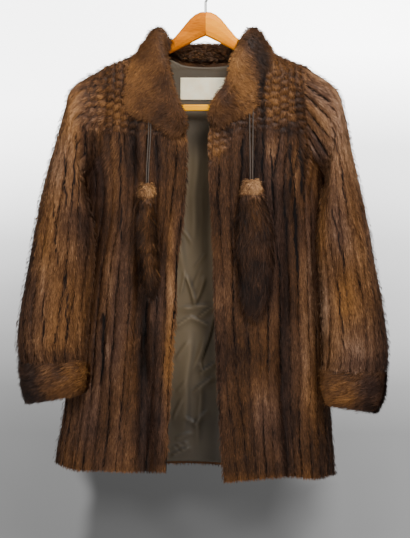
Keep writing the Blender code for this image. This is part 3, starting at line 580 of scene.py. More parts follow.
def woodMaterial(name, dark, light, seed):
    made, tree, shader = newMaterial(name)
    moved = placeIn(tree, Location=(seed, seed, 0), Scale=(9, 60, 60))
    broad = speckle(tree, moved, Scale=1.0, Detail=4.0, Distortion=0.5)
    fine = speckle(tree, placeIn(tree, Scale=(60, 900, 900)), Scale=1.0, Detail=2.0)
    grain = maths(tree, "MULTIPLY", maths(tree, "ADD", broad, fine), 0.5)
    setInputs(tree, shader, {"Base Color": colourRamp(tree, grain, [(0.36, dark), (0.62, light)])})
    setInputs(tree, shader, {"Roughness": remap(tree, broad, first=0.28, last=0.4), "Specular IOR Level": 0.05})
    setInputs(tree, shader, {"Coat Weight": 0.02, "Coat Roughness": 0.15, "Normal": bump(tree, fine, 0.15, 0.0006)})
    return made


def steelMaterial():
    made, tree, shader = newMaterial("plated_wire")
    rough = remap(tree, speckle(tree, placeIn(tree), Scale=300.0, Detail=3.0), first=0.15, last=0.35)
    setInputs(tree, shader, {"Roughness": rough, "Metallic": 1.0, "Base Color": (0.62, 0.62, 0.6, 1)})
    return made


def cordMaterial():
    made, tree, shader = newMaterial("silk_cord")
    waves = {"Vector": placeIn(tree), "Scale": 260.0, "Distortion": 1.0}
    twist = put(tree, "TexWave", waves, bands_direction="DIAGONAL").outputs["Fac"]
    colour = colourRamp(tree, twist, [(0.2, (0.022, 0.015, 0.010)), (0.9, (0.085, 0.062, 0.043))])
    setInputs(tree, shader, {"Base Color": colour, "Roughness": 0.5, "Normal": bump(tree, twist, 0.5, 0.0005)})
    return made


guardHair = furMaterial("guard_hair", 0.5, 0.02)
underfur = furMaterial("underfur", 0.8, 0.0, 0.6)
silkCord = cordMaterial()
print("finishes made")

# ties: each route leaves the collar's edge and ends in its pendant's cap

pendants = {  # rows of down, across, half width and half depth
    left: {
        "cap": [
            (400.5, -110.5, 4, 4), (403, -110.5, 8, 7), (408, -111, 12.5, 9),
            (415, -111.5, 16, 10.5), (421, -112, 17.5, 10.5), (426, -112, 17, 9),
        ],
        "tail": [
            (426.4, -112.5, 15, 10), (450, -113, 19, 12), (490, -112, 22.5, 13), (535, -110, 22.5, 13),
            (572, -107, 18, 11), (592, -104, 11, 7), (600, -102, 4, 3),
        ],
    },
    right: {
        "cap": [
            (393, 86.5, 6, 4), (395.5, 86.5, 11, 7), (400.5, 86.5, 16.5, 9),
            (408, 86.5, 21, 11), (415, 87, 23, 11), (420, 87, 22.5, 9.5),
        ],
        "tail": [
            (420.4, 87, 21, 10.5), (450, 89, 28, 13), (495, 92, 32, 14), (550, 94, 33, 14),
            (600, 94.5, 27, 12), (628, 94.5, 17, 8), (638, 94.5, 6, 3.5),
        ],
    },
}
hang = {"stripRelief": 2.5, "pendantClear": 5, "tieClear": 2.5, "cord": 2.2, "intoCap": 0.4}
ties = {  # side, its start down and across, its end across, its length in metres
    "tie_left_outer": (left, 281.9, -107.5, -111.5, 0.1195),
    "tie_left_inner": (left, 283.4, -103.5, -108, 0.118),
    "tie_right_inner": (right, 261.4, 83.5, 84.5, 0.133),
    "tie_right_outer": (right, 252.6, 90, 89, 0.1415),
}


def frontOfFur(across, down):
    return float(onBody(np.array([across, down]), front, False)[1]) - hang["stripRelief"]


def pendantMiddle(side, across, down):
    return frontOfFur(across, down) - hang["pendantClear"] - max(row[3] for row in pendants[side]["tail"])


for name, (side, top, topAcross, footAcross, length) in ties.items():
    foot = pendants[side]["cap"][0][0] - hang["intoCap"]
    start = np.array([topAcross, frontOfFur(topAcross, top) - hang["tieClear"], -top])
    end = np.array([footAcross, pendantMiddle(side, footAcross, foot), -foot])
    route = bpy.data.curves.new(name + "_cord", "CURVE")
    route.dimensions = "3D"
    route.bevel_depth = hang["cord"] / 2 * mm
    route.bevel_resolution = 3
    route.use_fill_caps = True
    spline = route.splines.new("POLY")
    spline.points.add(23)
    for point, share in zip(spline.points, np.linspace(0, 1, 24)):
        swing = share * share * (3 - 2 * share)
        point.co = (*((start + (end - start) * np.array([swing, swing, share])) * mm), 1)
    route.materials.append(silkCord)
    belong(linked(name + "_cord", route), "braid", name)
print("ties made")

# fur: what every coat of hair is made from

commonHair = {
    "swirl": 0.12, "swirls": 9, "overhang": 4, "standing": 0.10, "stand": 4.0, "bend": 0.0, "tipLift": 1.1,
    "nearest": -200, "soften": 0.0, "glint": 0.1, "tipTone": 0.10, "toneSpread": 0.055,
}


def skinOf(points, closed, towards, recipe, extras={}, lie=(0.0, 1.0), wall=6.0, flare=None, falling=1.0):
    # raises a grid by its recipe's relief, and keeps what the hair on it needs
    rows, columns = points.shape[:2]
    u = np.arange(columns) / (columns if closed else columns - 1) + np.zeros((rows, 1))
    pattern = recipe(u, points, extras)
    normals = gridNormals(points, closed, towards)
    raised = points + normals * pattern["height"][..., None]
    across, down = slopesOf(points, closed)
    steps = np.linalg.norm(np.diff(points, axis=0), axis=2)
    room = np.concatenate([np.cumsum(steps[::-1], axis=0)[::-1], np.zeros((1, columns))])
    if flare is not None:
        fall = np.stack([flare, 0 * flare, 0 * flare - 1], axis=-1)
        fall = unit(fall - normals * (fall * normals).sum(axis=-1, keepdims=True))
        share = np.broadcast_to(falling, u.shape)[..., None]
        down = unit(unit(down) * (1 - share) + fall * share)
    lieAcross, lieDown = (np.broadcast_to(part, u.shape)[..., None] for part in lie)
    return {
        "base": points, "points": raised, "normals": gridNormals(raised, closed, towards),
        "inner": points - normals * wall, "flow": unit(unit(across) * lieAcross + unit(down) * lieDown),
        "room": room, "closed": closed, "recipe": recipe, "extras": extras, **pattern,
    }


def combFur(name, skin, hair):
    # lays tapered hairs over a skin; each is two triangles, with its tone painted on
    hair = {**commonHair, **hair}
    rng = np.random.default_rng(hair["seed"])
    closed = skin["closed"]
    grids = {key: closedUp(skin[key], closed) for key in ("base", "points", "normals", "flow", "room")}
    corners = grids["points"]
    grids["across"], grids["down"] = slopesOf(grids["base"], False)
    tall, wide = corners.shape[0] - 1, corners.shape[1] - 1
    sides = np.cross(corners[1:, :-1] - corners[:-1, :-1], corners[:-1, 1:] - corners[:-1, :-1])
    weight = np.linalg.norm(sides, axis=2).ravel()
    if "where" in hair:
        weight = weight * hair["where"][:-1, :wide].ravel()
    tries = int(hair["count"] * 1.8)
    cells = rng.choice(len(weight), tries, p=weight / weight.sum())
    rows = cells // wide + rng.random(tries)
    columns = cells % wide + rng.random(tries)

    def patternAt(rows, columns):
        rows = np.clip(rows, 0, tall)
        columns = columns % wide if closed else np.clip(columns, 0, wide)
        extras = {key: gridAt(closedUp(grid, closed), rows, columns) for key, grid in skin["extras"].items()}
        return skin["recipe"](columns / wide, gridAt(grids["base"], rows, columns), extras)

    pattern = patternAt(rows, columns)
    kept = rng.random(tries) > pattern["slit"] * 1.15
    rows, columns, short = rows[kept], columns[kept], pattern["short"][kept]
    size = len(rows)
    take = {key: gridAt(grid, rows, columns) for key, grid in grids.items()}
    normal, flow = unit(take["normals"]), take["flow"]
    flow = unit(flow - normal * (flow * normal).sum(axis=1, keepdims=True))
    swirl = noise(columns / wide * hair["swirls"], rows / 14, hair["seed"] + 5) - 0.5
    turn = rng.normal(0, hair["stray"], size) + 2 * hair["swirl"] * swirl
    heading = flow * np.cos(turn)[:, None] + np.cross(normal, flow) * np.sin(turn)[:, None]
    length = hair["length"] * rng.uniform(0.7, 1.25, size) * short
    past = hair["overhang"] * rng.uniform(0.2, 1.6, size)
    length = np.minimum(length, np.maximum(take["room"] + past, 4))
    # where each hair ends on the grid: one that would lie over a slit is left out
    pairs = (("across", "across"), ("across", "down"), ("down", "down"))
    aa, ad, dd = ((take[p] * take[q]).sum(axis=1) for p, q in pairs)
    ma, md = ((take[p] * heading).sum(axis=1) * length * 0.85 for p in ("across", "down"))
    level = aa * dd - ad * ad + 1e-9
    over = patternAt(rows + (aa * md - ad * ma) / level, columns + (dd * ma - ad * md) / level)["slit"]
    clear = np.flatnonzero(rng.random(size) > over * 1.1)[: hair["count"]]
    rows, columns, normal, heading, length = (part[clear] for part in (rows, columns, normal, heading, length))
    take = {key: part[clear] for key, part in take.items()}
    size = len(clear)
    pattern = patternAt(rows, columns)
    # each hair's root, its widest place and its tip
    half = hair["width"] / 2 * rng.uniform(0.7, 1.3, size)
    lift = hair["lift"] * rng.uniform(0.55, 1.5, size)
    standing = rng.random(size) < hair["standing"]
    lift = np.where(standing, lift + hair["stand"] * rng.uniform(0.4, 1.2, size), lift)
    roll = rng.normal(0, 0.2, size) + standing * rng.uniform(-0.9, 0.9, size)
    sideways = np.cross(normal, heading) * np.cos(roll)[:, None] + normal * np.sin(roll)[:, None]
    root = take["points"] - normal * 0.5
    middle = root + heading * (length * 0.45)[:, None] + normal * (lift * 0.9 + 0.5)[:, None]
    tip = root + heading * length[:, None] + normal * (lift * hair["tipLift"] + 0.5)[:, None]
    tip = tip + sideways * (hair["bend"] * rng.normal(0, 1, size) * length)[:, None]
    points = np.stack([root, middle - sideways * half[:, None], middle + sideways * half[:, None], tip], axis=1)
    points[..., 1] = np.maximum(points[..., 1], hair["nearest"])
    faces = (np.arange(size)[:, None] * 4 + np.array([[0, 1, 2, 1, 3, 2]])).reshape(-1, 3)
    upright = unit(np.stack([0 * length, take["base"][:, 1] / 40, 0 * length + 0.35], axis=1))
    shading = normal * (1 - hair["soften"]) + upright * hair["soften"]
    shading = unit(shading + rng.normal(0, hair["glint"], (size, 3)) + heading * 0.12)
    tone = pattern["tone"] + rng.normal(0, hair["toneSpread"], size)
    tone = np.clip(tone + 0.11 * (rng.random(size) < 0.05), 0.02, 1)
    along = np.array([0.0, 0.55, 0.55, 1.0])
    tones = tone[:, None] + (along - 0.5) * hair["tipTone"]
    colours = np.stack([tones, pattern["cool"][:, None] + 0 * tones, along + 0 * tones], axis=2)
    u = (columns / wide)[:, None] + np.array([0, -0.001, 0.001, 0])
    v = (rows / tall)[:, None] + np.array([0, 0.001, 0.001, 0.003])
    places = np.clip(np.stack([u, v], axis=2), 0, 1).reshape(-1, 2)[faces.ravel()]
    shades = np.repeat(shading, 4, axis=0)
    return makeMesh(name, points.reshape(-1, 3), faces, guardHair, shades, colours.reshape(-1, 3), places)


def shellColours(skin):
    # the skin under the hair is painted darker than the hair, partly as the underfur's own colour and partly as
    # painted shade, and darker still in the slits as painted shade
    shade = np.clip(1 - 1.2 * skin["slit"], 0.0, 1)
    return np.stack([skin["tone"] - 0.05 - 0.12 * skin["slit"], skin["cool"], 0.1 + 0.5 * shade], axis=2)


def furPiece(name, skin, piece, slot):
    colours = shellColours(skin)
    shell = makeShell(name + "_skin", skin["points"], skin["inner"], underfur, skin["closed"], colours=colours)
    belong(shell, slot, name)
    coat = belong(combFur(name + "_fur", skin, piece["hair"]), slot)


def makeSolid(name, skin, slot, node):
    # a closed tube of rings with a fan over each end
    flat, tones = (
        np.concatenate([grid.reshape(-1, 3), grid[0].mean(axis=0)[None], grid[-1].mean(axis=0)[None]])
        for grid in (skin["points"], shellColours(skin))
    )
    index = np.arange(len(flat) - 2).reshape(skin["points"].shape[:2])
    first, last = index[0], index[-1]
    fans = [
        np.stack([np.roll(first, -1), first, 0 * first + index.size], axis=1),
        np.stack([last, np.roll(last, -1), 0 * last + index.size + 1], axis=1),
    ]
    faces = facingOut(flat, np.concatenate([gridFaces(index, True), *fans]))
    return belong(makeMesh(name, flat, faces, underfur, colours=tones), slot, node)


def placedTone(across, down, spots):
    # light, dark and cool places: middle across and down, half sizes, then how light and how cool. Besides the fur's
    # own lighter and darker patches, they hold painted shade in folds, under the collar and on sides turned from the
    # light, and painted light on some crests
    tone, cool = np.zeros(across.shape), np.zeros(across.shape)
    for x, d, wide, tall, light, cold in spots:
        share = np.exp(-(np.abs((across - x) / wide) ** 2.4) - np.abs((down - d) / tall) ** 2.4)
        tone += light * share
        cool += cold * share
    return tone, cool


def pattern(look, across, down, height, tone, cool, slit):
    shiftTone, shiftCool = placedTone(across, down, look["spots"])
    return {
        "height": height,
        # the slits are painted darker, partly as the dark underfur showing there and partly as painted shade in the
        # gap
        "tone": np.clip(tone + shiftTone - 0.3 * slit, 0.03, 1),
        "cool": np.clip(cool + shiftCool, 0, 1),
        "slit": slit,
        "short": 1 + 0 * slit,
    }


def mixed(first, second, share):
    return {key: first[key] * (1 - share) + second[key] * share for key in first}


# let-out strips: smooth, with dark, wandering lines between them that open here and there

stripCommon = {
    "relief": 1.9, "slitDepth": 2.4, "slitWidth": 1.1, "own": 0.20, "slits": 0.0,
    "spots": [], "cracks": [], "facing": 1.0,
}


def stripPattern(q, across, down, pitch, look, wrap=0):
    look = {**stripCommon, **look}
    seed = look["seed"]
    wander = (noise(q * 0.8, down / 150, seed) - 0.5) * 0.75 + (noise(q * 1.3, down / 28, seed + 1) - 0.5) * 0.16
    crack = (noise(q * 4.1, down / 6, seed + 2) - 0.5) * 0.09
    place = q + (wander + crack)
    strip, line = np.floor(place).astype(np.int64), np.round(place).astype(np.int64)
    x = place - strip
    edge = np.minimum(x, 1 - x) * pitch
    if wrap:
        strip, line = strip % wrap, line % wrap
    opened = 0.6 * noise(line * 3.7 + 0.5, down / 130, seed + 3) + 0.4 * noise(line * 5.3, down / 32, seed + 13)
    strength = 0.22 + 0.78 * softStep(opened + look["slits"], 0.36, 0.68)
    halfWidth = look["slitWidth"] * (0.3 + 0.95 * strength) * (0.75 + 0.5 * noise(line * 7.3, down / 9, seed + 4))
    slit = np.exp(-((edge / halfWidth) ** 4)) * strength
    crown = 1 - np.abs(2 * x - 1) ** 3.4
    height = look["relief"] * (crown - 0.8) + 0.8 * (noise(q * 2.3, down / 90, seed + 6) - 0.5)
    height = height - look["slitDepth"] * slit
    tone = look["tone"]
    for strong, at, long, more in (  # each strip's own tone, its blotches, patches, small ones and streaks
        (look["own"], strip + 0.5, 260, 8), (0.11, strip + 0.5, 60, 11), (0.18, q * 0.4, 90, 9),
        (0.12, q * 1.7, 24, 12), (0.07, q * 7.0, 70, 7),
    ):
        tone = tone + strong * (noise(at, down / long, seed + more) - 0.5)
    # painted light and shade of each strip's rounding: lighter along its crown, darker beside its slits
    tone = tone + 0.11 * (crown - 0.75) - 0.09 * np.exp(-((edge / 2.6) ** 2)) * strength
    cool = np.clip(0.9 * (noise(q * 0.5 + 40, down / 120, seed + 10) - 0.45) + look["cool"], 0.14, 1)
    for x0, d0, x1, d1, wide in look["cracks"]:
        along = np.clip((down - d0) / (d1 - d0), 0, 1)
        off = across - (x0 + (x1 - x0) * along) - 1.6 * np.sin(down / 9 + x0) - 0.8 * np.sin(down / 3.7)
        inside = softStep(down, d0 - 4, d0 + 14) * (1 - softStep(down, d1 - 14, d1 + 4)) * look["facing"]
        slit = np.maximum(slit, np.exp(-((off / (wide * (0.4 + 0.6 * inside) + 0.01)) ** 4)) * inside)
    return pattern(look, across, down, height, tone, cool, slit)


def stripPlace(across, down, side, strips):
    # counts the strips from the front edge, or from the left side seam, along a row
    low, high = bodySide[left](down), bodySide[right](down)

    def turned(x):
        aside = np.clip((x - (low + high) / 2) / ((high - low) / 2), -1, 1)
        return 0.5 * aside + np.arcsin(aside) / math.pi

    if side is None:
        return strips * (turned(across) + 1) / 2
    start = turned(edgeAcross[side](down))
    return strips * (turned(across) - start) / (side - start)


def stripsOf(x, d, panel):
    return stripPattern(stripPlace(x, d, panel["side"], panel["strips"]), x, d, panel["pitch"], panel["look"])


# small staggered bumps that the yokes are worked in

bumpCommon = {"slant": 0.0, "seam": 1.0, "puff": 0.13, "spots": []}


def bumpPattern(a, b, across, down, look):
    look = {**bumpCommon, **look}
    seed = look["seed"]
    a = a + (noise(a / 30, b / 26, seed) - 0.5) * 11 + (noise(a / 9, b / 9, seed + 1) - 0.5) * 4
    b = b + (noise(a / 26, b / 30, seed + 2) - 0.5) * 11 + look["slant"] * a
    wide, tall = look["cell"]
    column = np.floor(a / wide).astype(np.int64)
    place = b / tall + 0.5 * (column % 2) + 0.25 * hashed(column, column * 0, seed + 9)
    row = np.floor(place).astype(np.int64)
    lx, ly = 2 * (a / wide - column) - 1, place - row  # ly is 0 at the bump's top
    puff = (1 - np.abs(lx) ** 2.2) * np.sin(math.pi * ly**0.8)
    hole = np.exp(-((lx / 0.42) ** 2) - ((np.minimum(ly, 1 - ly) / 0.13) ** 2))
    hole = hole * (0.25 + 0.75 * hashed(row + (ly > 0.5), column, seed + 4))
    seamed = np.exp(-(((1 - np.abs(lx)) / 0.16) ** 2)) * (0.15 + 0.45 * softStep(ly, 0.3, 0.9)) * look["seam"]
    gap = np.clip(np.maximum(hole, seamed * noise(a / 14, b / 14, seed + 7)), 0, 1)
    # painted light and shade of each bump: lighter on its puffed middle and towards its top, darker towards its rims
    # and in the holes and seams between bumps
    tone = look["tone"] + look["puff"] * (puff - 0.5) + 0.10 * (hashed(row, column, seed + 3) - 0.5)
    tone = tone + 0.20 * (noise(a / 40, b / 50, seed + 5) - 0.5) - 0.32 * gap + 0.05 * (0.5 - ly)
    cool = np.clip(look["cool"] + 0.6 * (noise(a / 50, b / 50, seed + 6) - 0.5), 0, 1)
    made = pattern(look, across, down, look["relief"] * (puff - 0.5) - 1.2 * gap, tone, cool, 0 * gap)
    return dict(made, slit=0.8 * gap, short=0.62 + 0 * gap)


# plain plush, for the collar, cuffs and pendants

plushCommon = {"soft": 0.26, "small": 0.16, "cool": 0.0}


def plushPattern(points, look):
    look = {**plushCommon, **look}
    across, deep, down, seed = points[..., 0], points[..., 1], -points[..., 2], look["seed"]
    soft = noise(across / 22 + deep / 31, down / 30, seed) - 0.5
    small = noise(across / 6 + deep / 9, down / 8, seed + 1) - 0.5
    tone = look["tone"] + look["soft"] * soft + look["small"] * small
    cool = np.clip(look["cool"] + 0.4 * (noise(across / 40, down / 40, seed + 2) - 0.5), 0, 1)
    return pattern(look, across, down, 1.6 * small + 1.2 * soft, tone, cool, 0 * tone)


yokeLook = {
    "yoke_left": {
        "seed": 404, "cell": (14.5, 14), "relief": 2.4, "tone": 0.455, "cool": 0.22,
        "slant": 0.3, "seam": 1.7, "puff": 0.22,
        # the dark spot here is painted shade beside the tie, under the collar
        "spots": [
            (-136, 320, 13, 60, -0.26, 0.1), (-166, 270, 8, 34, 0.14, 0.0), (-160, 180, 18, 60, 0.05, 0.2),
        ],
    },
    "yoke_right": {
        "seed": 505, "cell": (15.5, 14.5), "relief": 2.0, "tone": 0.44, "cool": 0.10,
        "slant": -0.25, "puff": 0.15,
        # the dark spots here include painted shade in the fold by the collar's end and under the collar's lower edge,
        # beside the fur's own patches
        "spots": [
            (108, 270, 6, 60, -0.30, 0.0), (130, 200, 12, 90, 0.10, -0.1), (175, 250, 9, 60, -0.14, 0.0),
            (156, 290, 30, 14, -0.2, 0.2), (60, 300, 34, 20, -0.18, 0.1), (22, 330, 14, 50, 0.08, -0.1),
        ],
    },
    "back_yoke": {
        "seed": 606, "cell": (15, 14.5), "relief": 2.0, "tone": 0.46, "cool": 0.15, "seam": 1.5, "puff": 0.24,
    },
}


def yokeShare(across, down, look):
    # 1 in the yoke, 0 in the strips, with a wandering line between them
    column = np.round(across / 15).astype(np.int64)
    line = 300 + 26 * (hashed(column, column * 0, look["seed"]) - 0.35)
    line = line + np.where(across > 0, 70 * (1 - softStep(across, 8, 60)), 0)
    return 1 - softStep(down, line - 22, line + 14)


def panelGrid(piece):
    points = onBody(evenGrid(piece["outline"], piece["grid"]), piece["face"])
    return points, np.broadcast_to(np.array([0.0, piece["face"], 0.25]), points.shape)


# fronts and back below the yokes

panelHair = {"length": 13, "width": 1.0, "lift": 1.4, "stray": 0.11, "swirl": 0.10}
panels = {
    "front_left": {
        "face": front, "side": left, "outline": frontOutline(left, 23), "grid": (129, 97),
        "strips": 13, "pitch": 19, "yoke": "yoke_left", "rests": ["hanger_arm_left"],
        "hair": {**panelHair, "count": 44000, "seed": 11},
        "look": {
            "seed": 101, "tone": 0.385, "cool": 0.34,
            # among these spots, the dark ones include painted shade in the fold valleys and under the collar, and some
            # light ones are painted light on crests, beside the fur's own patches
            "spots": [
                (-66, 575, 8, 120, 0.26, -0.25), (-72, 810, 8, 150, 0.19, -0.25), (-92, 640, 9, 220, -0.10, 0.2),
                (-116, 760, 12, 260, -0.22, 0.2), (-180, 940, 130, 12, 0.03, 0.0), (-150, 880, 60, 70, -0.03, 0.25),
                (-136, 330, 13, 62, -0.30, 0.2), (-92, 330, 9, 60, -0.20, 0.2), (-174, 400, 12, 110, 0.14, -0.1),
                (-150, 350, 70, 70, 0.05, 0.0), (-206, 400, 18, 90, -0.10, 0.5), (-183, 560, 8, 60, 0.20, 0.0),
                (-194, 705, 5, 50, -0.20, 0.0), (-185, 705, 3, 60, 0.22, 0.0), (-165, 860, 10, 60, 0.04, 0.2),
            ],
            "cracks": [(-162, 290, -160, 520, 1.6), (-193, 640, -196, 775, 2.2), (-160, 800, -163, 900, 1.2)],
        },
        "plush": {"seed": 111, "tone": 0.45, "cool": 0.1, "spots": [(-92, 330, 8, 60, -0.15, 0.2)]},
        "flat": (262, 662), "area": 0.158,
    },
    "front_right": {
        "face": front, "side": right, "outline": frontOutline(right, 23), "grid": (129, 97),
        "strips": 13, "pitch": 20, "yoke": "yoke_right", "rests": ["hanger_arm_right"],
        "hair": {**panelHair, "count": 45000, "seed": 12},
        "look": {
            "seed": 202, "tone": 0.345, "cool": 0.34,
            # among these spots, the dark ones include painted shade in the fold valleys and under the yoke and collar,
            # and some light ones are painted light on crests, beside the fur's own patches
            "spots": [
                (22, 480, 12, 130, 0.0, -0.1), (50, 450, 50, 60, -0.08, 0.1), (110, 957, 130, 13, 0.09, -0.35),
                (120, 470, 30, 120, -0.09, 0.6), (150, 720, 9, 260, -0.13, 0.3), (190, 560, 14, 150, 0.06, 0.1),
                (124, 334, 11, 24, 0.26, -0.2), (170, 372, 6, 52, 0.30, 0.1), (143, 350, 7, 60, 0.08, 0.1),
                (100, 330, 12, 80, -0.16, 0.1), (156, 288, 30, 13, -0.20, 0.2), (190, 690, 16, 160, 0.08, 0.0),
            ],
            "cracks": [
                (124, 324, 127, 430, 1.6), (109, 300, 107, 400, 1.8), (161, 318, 162, 420, 2.4),
                (180, 326, 184, 430, 2.4), (168, 430, 172, 560, 1.6), (150, 430, 156, 520, 1.4),
                (116, 306, 124, 326, 1.4), (132, 306, 124, 326, 1.4),
            ],
        },
        "flat": (288, 666), "area": 0.172,
    },
    "back": {
        "face": back, "side": None, "outline": backOutline(27), "grid": (97, 129),
        "strips": 30, "pitch": 21, "yoke": "back_yoke", "rests": ["hanger_arm_left", "hanger_arm_right"],
        "hair": {**panelHair, "count": 39000, "length": 15, "width": 1.35, "seed": 13},
        "look": {"seed": 303, "tone": 0.44, "cool": 0.25},
        "flat": (560, 662), "area": 0.335,
    },
}

for name, piece in panels.items():
    points, towards = panelGrid(piece)

    def recipe(u, at, extras, piece=piece, yoke=yokeLook[piece["yoke"]]):
        x, d = at[..., 0], -at[..., 2]
        strips = stripsOf(x, d, piece)
        # painted shade and light of the drape: fold valleys are painted darker and bulges lighter
        strips["tone"] = np.clip(strips["tone"] - 0.007 * foldDepth(x, d, piece["face"]), 0.03, 1)
        made = mixed(strips, bumpPattern(x, d, x, d, yoke), yokeShare(x, d, yoke))
        if "plush" in piece:
            underTip = softStep(x, -98, -78) * (1 - softStep(d, 312, 345))
            made = mixed(made, plushPattern(at, piece["plush"]), underTip)
        return made

    aside = softStep(np.abs(points[..., 0]), 150, 200) * (1 - softStep(-points[..., 2], 340, 385))
    if name == "back":
        aside = aside * np.sign(points[..., 0])
    else:
        aside = aside - 0.35 * (1 - softStep(np.linspace(0, 1, points.shape[1])[None], 0.0, 0.05))
    skin = skinOf(points, False, towards, recipe, lie=(aside, 1.0), wall=7, flare=0.0003 * points[..., 0])
    if name == "back":  # its sides lie under the fronts, so that no light comes through the seams
        for edge, inwards in ((0, 3.0), (-1, -3.0)):
            for key in ("points", "inner"):
                skin[key][:, edge] += np.array([inwards, -7.0, 0.0])
    furPiece(name, skin, piece, "fur")
print("fronts and back made")

# yokes

yokeHair = {"length": 12, "width": 1.0, "lift": 1.6, "stray": 0.25, "tipLift": 0.7, "overhang": 9}
yokes = {
    "yoke_left": {
        "face": front, "outline": yokeOutline(left, 12), "grid": (81, 73),
        "hair": {**yokeHair, "count": 15000, "seed": 21}, "flat": (176, 190), "area": 0.0262,
    },
    "yoke_right": {
        "face": front, "outline": yokeOutline(right, 12), "grid": (89, 97),
        "hair": {**yokeHair, "count": 20000, "seed": 22}, "flat": (215, 250), "area": 0.0345,
    },
    "back_yoke": {
        "face": back, "outline": backYokeOutline(14), "grid": (61, 97),
        "hair": {**yokeHair, "count": 15000, "length": 14, "width": 1.2, "seed": 23},
        "flat": (440, 170), "area": 0.058,
    },
}

for below in panels.values():
    name = below["yoke"]
    piece = yokes[name]
    points, towards = panelGrid(piece)
    steps = np.linalg.norm(np.diff(points, axis=0), axis=2)
    along = np.concatenate([0 * steps[:1], np.cumsum(steps, axis=0)])
    extras = {"along": along - along[-1:] - points[-1:, :, 2]}

    def recipe(u, at, extras, below=below, look=yokeLook[name]):
        x, d = at[..., 0], -at[..., 2]
        bumps = bumpPattern(x, extras["along"], x, d, look)
        return mixed(stripsOf(x, d, below), bumps, yokeShare(x, d, look))

    u = np.linspace(0, 1, points.shape[1])[None]
    outwards = 1.3 * softStep(u, 0.82, 1.0) - (name == "back_yoke") * 1.3 * (1 - softStep(u, 0, 0.12))
    skin = skinOf(points, False, towards, recipe, extras, lie=(outwards, 1.0), flare=0.0003 * points[..., 0])
    skin["room"] = skin["room"] + 6 * np.abs(outwards)
    furPiece(name, skin, piece, "fur")
print("yokes made")

# sleeves: ovals from the armhole to the cuff, each with its outermost and innermost point

sleeveRows = {  # across and down of both points, then the middle's depth and half the oval's
    left: [
        (-208, 186.5, -236, 389, 0, 45), (-227, 198, -237.5, 395, -5, 47),
        (-246, 210.5, -238, 402, -12, 49), (-258.5, 227.5, -237, 411, -19, 50),
        (-264, 252.5, -234, 423, -27, 49), (-272.5, 283, -230.5, 438, -33, 48),
        (-283, 322.5, -225.5, 458, -39, 46), (-295.5, 364.5, -220.5, 484, -44, 43),
        (-309, 421.5, -216.6, 520, -47, 41), (-322, 488, -215.7, 562, -48, 39),
        (-334.5, 560, -217.6, 608, -48, 38), (-347, 630.5, -223, 657, -48, 38),
        (-353.5, 687.5, -227, 700, -48, 39), (-353.5, 720, -226, 721, -48, 38),
        (-350.5, 737, -225, 734, -48, 36.5),
    ],
    right: [
        (206, 188, 232, 390, 0, 45), (224, 199.5, 233.2, 396, -5, 47),
        (241, 213.5, 233.5, 403, -12, 49), (253.5, 231.5, 232.5, 412, -19, 50),
        (260, 256, 229.5, 424, -27, 49), (267, 288.5, 226, 442, -33, 48),
        (273.5, 326.5, 222.3, 465, -39, 46), (283, 370, 219.5, 492, -44, 43),
        (295.5, 427, 217.5, 530, -47, 41), (309, 492, 217.5, 573.5, -48, 39),
        (321, 564, 219.5, 621, -48, 38), (334.5, 634, 222.3, 668.5, -48, 38),
        (343, 697, 224.2, 706.5, -48, 39), (344, 729, 224.2, 731, -48, 38),
        (341, 754, 223.2, 749, -48, 36.5),
    ],
}
cuffRows = {
    left: [(-350, 750, -224, 746, -48, 37), (-347, 782, -223, 768, -48, 38), (-339, 809, -227, 788, -48, 35)],
    right: [(339.5, 767, 222, 766, -48, 37), (337, 800, 223, 792, -48, 38), (326, 826, 230, 811, -48, 34)],
}
armholeHalf = 42
seamFade = [0.7, 0.45, 0.25, 0.1]


def oval(row, angles, wall=0.0):
    outer, outerDown, inner, innerDown, middle, half = row
    high, low = np.array([outer, middle, -outerDown]), np.array([inner, middle, -innerDown])
    axis = (high - low) / 2
    length = np.linalg.norm(axis)
    axis = axis * (length - wall) / length
    return (high + low) / 2 + np.cos(angles)[:, None] * axis + np.sin(angles)[:, None] * np.array([0, half - wall, 0])


def armhole(side):
    # the sleeve's first ring, each point's angle on it, and how far it is off an oval
    outline = np.concatenate([armholePoints(side)[:-1], sidePoints(side)[:5]])
    ring = np.concatenate([onBody(outline, front, False), onBody(outline[-2:0:-1], back, False)])
    top, bottom = outline[0], outline[-1]
    high = np.array([top[0], 0, -top[1]])
    low = np.array([bottom[0], float(bodyMiddle(bottom[1])), -bottom[1]])
    middle, axis = (high + low) / 2, (high - low) / 2
    along = (ring - middle) @ axis / (axis @ axis)
    angles = np.arctan2((ring[:, 1] - middle[1]) / armholeHalf, along)
    even = middle + np.cos(angles)[:, None] * axis + np.sin(angles)[:, None] * np.array([0, armholeHalf, 0])
    return ring, angles, ring - even


def sleeveRings(side):
    ring, angles, own = armhole(side)
    rings = [ring]
    for k, row in enumerate(sleeveRows[side]):
        near = side * 6 * softStep(k, 2, 5) * (1 - softStep(k, 7, 10))  # in to the body
        fade = seamFade[k] if k < len(seamFade) else 0
        rings.append(oval((*row[:2], row[2] - near, *row[3:]), angles) + fade * own)
    return np.array(rings)


def cuffRings(side):
    angles = armhole(side)[1]
    rings = [oval(row, angles, 2) for row in (sleeveRows[side][-1], *cuffRows[side])]
    for wall, lower in ((4, 3.5), (8, 5), (14, 3)):  # its foot turns in
        rings.append(oval(cuffRows[side][-1], angles, wall) - np.array([0, 0, lower]))
    return np.array(rings)


def underarm(x, d, y):
    edge = np.interp(d, [256, 350, 400], [-241, -228, -222])
    return softStep(x, edge - 4, edge + 6) * softStep(d, 270, 300) * (1 - softStep(d, 420, 470)) * (y < 0)


def bumped(x, d, y):
    top = softStep(0.9 * d + 0.75 * (x + 190), 118, 136)
    return softStep(x, -238, -222) * (1 - softStep(d, 285, 320)) * top * (y < 0)


